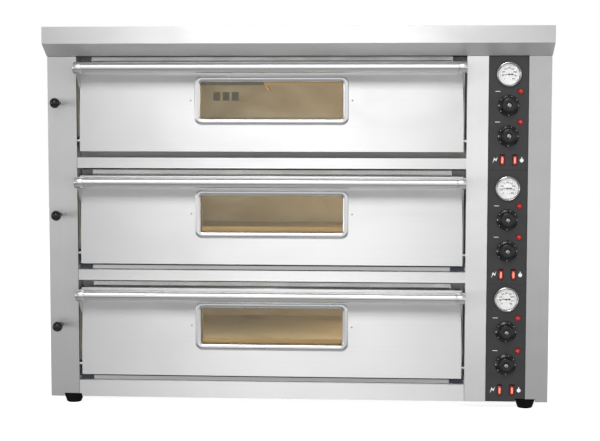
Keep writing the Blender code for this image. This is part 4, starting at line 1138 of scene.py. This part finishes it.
def build_seals(deck):
    """Grey strip under the door and grey pads in the upper corners, painted shade in those gaps; steel lip
    ends; and a dark strip in the gap left of the door, painted shade.
    """
    base = deck_base(deck)
    left, right = DOORWAY_LEFT + DOORWAY_GAP, DOORWAY_RIGHT - DOORWAY_GAP
    front, back = FRONT_FACE + GAP_SHADE_SETBACK, FRONT_FACE + GAP_SHADE_SETBACK + GAP_SHADE_THICKNESS
    # Grey strip in the gap under the door: painted shade
    strip = [((left, front, base - RAIL_DROP), (right, back, base - 0.0002))]
    boxed_piece(f"{deck}_sill_shade_strip", strip, "seal", "root", "chamber", 0.0005)
    if deck != DECKS[0]:
        build_sill_strip(deck, left, right, base)
    # Grey pads in the upper corners of the doorway: painted shade
    pads = [
        ((x, front, base + CORNER_RISE), (x + CORNER_WIDTH, back, base + MOUTH_RISE))
        for x in (left, right - CORNER_WIDTH)
    ]
    boxed_piece(f"{deck}_corner_shade_pads", pads, "seal", "root", "chamber", 0.0005)
    lip_ends = [
        ((x, FRONT_FACE + LIP_SETBACK, base + LIP_RISE), (x + LIP_SHEET, back, base + MOUTH_RISE))
        for x in (left + CORNER_WIDTH, right - CORNER_WIDTH - LIP_SHEET)
    ]
    boxed_piece(f"{deck}_lip_ends", lip_ends, "upright", "root", "brushed", 0.0003)
    # Dark oxidised-steel strip in the gap left of the door: painted shade
    near, far = (FRONT_FACE + setback for setback in SIDE_SHADE_SETBACKS)
    side_strip = [((left, near, base + SIDE_SHADE_RISES[0]), (left + SIDE_SHADE_WIDTH, far, base + SIDE_SHADE_RISES[1]))]
    boxed_piece(f"{deck}_stop_strip", side_strip, "element", "root", "brushed", 0.0003)


def build_sill_strip(deck, left, right, base):
    """Folded lip in the gap under a door, with a dark bracket at each end."""
    front = FRONT_FACE + SILL_SETBACK
    low, high = (base + rise for rise in SILL_RISES)
    lip = [((left, front, low), (right, front + SILL_SHEET, high))]
    boxed_piece(f"{deck}_sill_lip", lip, "casing", "root", "brushed", 0.0004)
    low, high = (base + rise for rise in BRACKET_RISES)
    near, far = (front + setback for setback in BRACKET_SETBACKS)
    starts = (left + BRACKET_INSET, right - BRACKET_INSET - BRACKET_LENGTHS[1])
    brackets = [((x, near, low), (x + length, far, high)) for x, length in zip(starts, BRACKET_LENGTHS)]
    boxed_piece(f"{deck}_sill_brackets", brackets, "flue", "root", "brushed", 0.0003)


def build_foot_tabs():
    """Small tabs that close the lower edge of each casing beside its front foot."""
    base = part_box("left_casing")[0].z
    for side, width in TAB_WIDTHS.items():
        low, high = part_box(f"front_{side}_foot")
        outer = low.x if side == "left" else high.x
        start, end = sorted((outer + math.copysign(TAB_LAP, outer), outer - math.copysign(width, outer)))
        box = ((start, FRONT_FACE, base), (end, FRONT_FACE + TAB_SHEET, base + TAB_HEIGHT))
        boxed_piece(f"{side}_foot_tab", [box], "casing", "root", "brushed", 0.0002)


def build_rail_facings():
    """Thin facings with a level grain on the rails; the base rail's leaves room for the left foot."""
    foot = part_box("front_left_foot")[1]
    foot_side = foot.x + FOOT_GAP_SIDE
    left, right = DOORWAY_LEFT + 0.0005, DOORWAY_RIGHT - 0.0005
    for deck in DECKS:
        top = deck_base(deck) - RAIL_DROP - FACING_MARGIN
        low = top - RAIL_HEIGHT + 2 * FACING_MARGIN
        outline = [(left, low), (right, low), (right, top), (left, top)]
        if deck == DECKS[-1]:
            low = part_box("front_frame")[0].z + FACING_MARGIN
            notch = foot.z + FOOT_GAP_TOP
            outline = [(left, notch), (foot_side, notch), (foot_side, low), (right, low)]
            outline += [(right, top), (left, top)]
        bm = bmesh.new()
        add_prism(bm, outline, 0.00002 - FRONT_FACE, FACING_SHEET - FRONT_FACE, FACING_FRONT)
        piece(f"{deck}_rail_facing", bm, "hood", "root", "brushed", rounding=0.0002)


# --- Studio ---


def build_camera():
    data = bpy.data.cameras.new("photo_view")
    data.sensor_width = SENSOR
    data.lens = LENS
    camera = bpy.data.objects.new("photo_view", data)
    camera.location = (CAMERA_X, FRONT_FACE - CAMERA_DISTANCE, CAMERA_HEIGHT)
    camera.rotation_euler = (CAMERA_TILT, CAMERA_ROLL, CAMERA_TURN)
    bpy.context.scene.collection.objects.link(camera)
    bpy.context.scene.camera = camera


def graded(tree, angle, stops):
    """A smooth brightness over an angle in degrees, from a list of (angle, brightness)."""
    low, high = stops[0][0], stops[-1][0]
    span = tree.nodes.new("ShaderNodeMapRange")
    tree.links.new(angle, span.inputs["Value"])
    span.inputs["From Min"].default_value = math.radians(low)
    span.inputs["From Max"].default_value = math.radians(high)
    ramp = tree.nodes.new("ShaderNodeValToRGB")
    ramp.color_ramp.interpolation = "EASE"
    tree.links.new(span.outputs["Result"], ramp.inputs["Fac"])
    elements = ramp.color_ramp.elements
    elements[1].position = 1.0
    for degrees, _ in stops[1:-1]:
        elements.new((degrees - low) / (high - low))
    for element, (_, level) in zip(elements, stops):
        element.color = (level, level, level, 1.0)
    return ramp.outputs["Color"]


def calculate(tree, operation, first, second=None):
    """One Math node; the second value is a socket or a plain number."""
    node = tree.nodes.new("ShaderNodeMath")
    node.operation = operation
    tree.links.new(first, node.inputs[0])
    if isinstance(second, float):
        node.inputs[1].default_value = second
    elif second is not None:
        tree.links.new(second, node.inputs[1])
    return node.outputs["Value"]


def studio_brightness(tree):
    """Brightness of the studio in a direction, by its height and its side angle from the front."""
    coords = tree.nodes.new("ShaderNodeTexCoord")
    split = tree.nodes.new("ShaderNodeSeparateXYZ")
    tree.links.new(coords.outputs["Generated"], split.inputs["Vector"])
    ahead = calculate(tree, "MULTIPLY", split.outputs["Y"], -1.0)
    height = calculate(tree, "ARCSINE", split.outputs["Z"])
    side = calculate(tree, "ARCTAN2", split.outputs["X"], ahead)
    by_height, by_side = graded(tree, height, SKY_BY_HEIGHT), graded(tree, side, SKY_BY_SIDE)
    return calculate(tree, "MULTIPLY", calculate(tree, "MULTIPLY", by_height, by_side), SKY_STRENGTH)


def build_sky():
    """Soft grey studio that lights the metal, seen as plain white behind the oven."""
    world = bpy.data.worlds.new("studio")
    world.use_nodes = True
    bpy.context.scene.world = world
    tree = world.node_tree
    sky = tree.nodes["Background"]
    tree.links.new(studio_brightness(tree), sky.inputs["Strength"])
    plain = tree.nodes.new("ShaderNodeBackground")
    plain.inputs["Strength"].default_value = BACKGROUND
    for node in (sky, plain):
        node.inputs["Color"].default_value = (1, 1, 1, 1)
    mix = tree.nodes.new("ShaderNodeMixShader")
    path = tree.nodes.new("ShaderNodeLightPath")
    tree.links.new(path.outputs["Is Camera Ray"], mix.inputs["Fac"])
    tree.links.new(sky.outputs["Background"], mix.inputs[1])
    tree.links.new(plain.outputs["Background"], mix.inputs[2])
    tree.links.new(mix.outputs["Shader"], tree.nodes["World Output"].inputs["Surface"])


def add_softbox(name, place, target, size, radiance, colour=(1.0,) * 3):
    """An area light whose face has the given radiance."""
    light = bpy.data.lights.new(name, "AREA")
    light.shape = "RECTANGLE"
    light.size, light.size_y = size
    light.energy = radiance * math.pi * size[0] * size[1]
    light.color = colour
    obj = bpy.data.objects.new(name, light)
    obj.location = place
    obj.rotation_euler = (Vector(target) - Vector(place)).to_track_quat("-Z", "Y").to_euler()
    obj.visible_camera = False
    bpy.context.scene.collection.objects.link(obj)


def build_lights():
    """Softboxes of the studio, and a warm lamp and an even fill inside each chamber."""
    target = (0, FRONT_FACE, 0.5)
    for name, (place, size, radiance) in SOFTBOXES.items():
        add_softbox(name, place, target, size, radiance)
    for deck in DECKS:
        low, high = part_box(f"{deck}_stone_floor")
        middle = (low + high) / 2
        lamp = (high.x - LAMP_INSET, middle.y, high.z + LIGHT_RISE)
        aim = (low.x, middle.y, low.z)
        add_softbox(f"{deck}_lamp_light", lamp, aim, LAMP_SIZE, LAMP_RADIANCE, LAMP_COLOUR)
        fill = (middle.x, low.y + FILL_SETBACK, high.z + LIGHT_RISE)
        wall = (middle.x, high.y, high.z + FILL_AIM_RISE)
        add_softbox(f"{deck}_fill_light", fill, wall, FILL_SIZE, FILL_RADIANCE[deck], FILL_COLOUR)


def build_floor():
    bm = bmesh.new()
    bmesh.ops.create_grid(bm, x_segments=1, y_segments=1, size=FLOOR_SIZE / 2)
    mesh = bpy.data.meshes.new("studio_floor")
    bm.to_mesh(mesh)
    bm.free()
    mesh.materials.append(MATERIALS["floor"])
    floor = bpy.data.objects.new("studio_floor", mesh)
    bpy.context.scene.collection.objects.link(floor)
    floor.visible_glossy = False


def build_looks():
    dress_nodes()
    for deck in DECKS:
        build_door(deck)
        build_controls(deck)
        build_damper(deck)
        build_oven_lamp(deck)
        build_flues(deck)
        build_seals(deck)
    build_feet()
    build_gland()
    build_foot_tabs()
    build_rail_facings()
    build_spot_welds()
    build_casing_screws()


CLEAN_SHADING = clean_shading()
bpy.context.scene.view_settings.view_transform = "Standard"
build_camera()
build_sky()
build_lights()
build_floor()
build_looks()
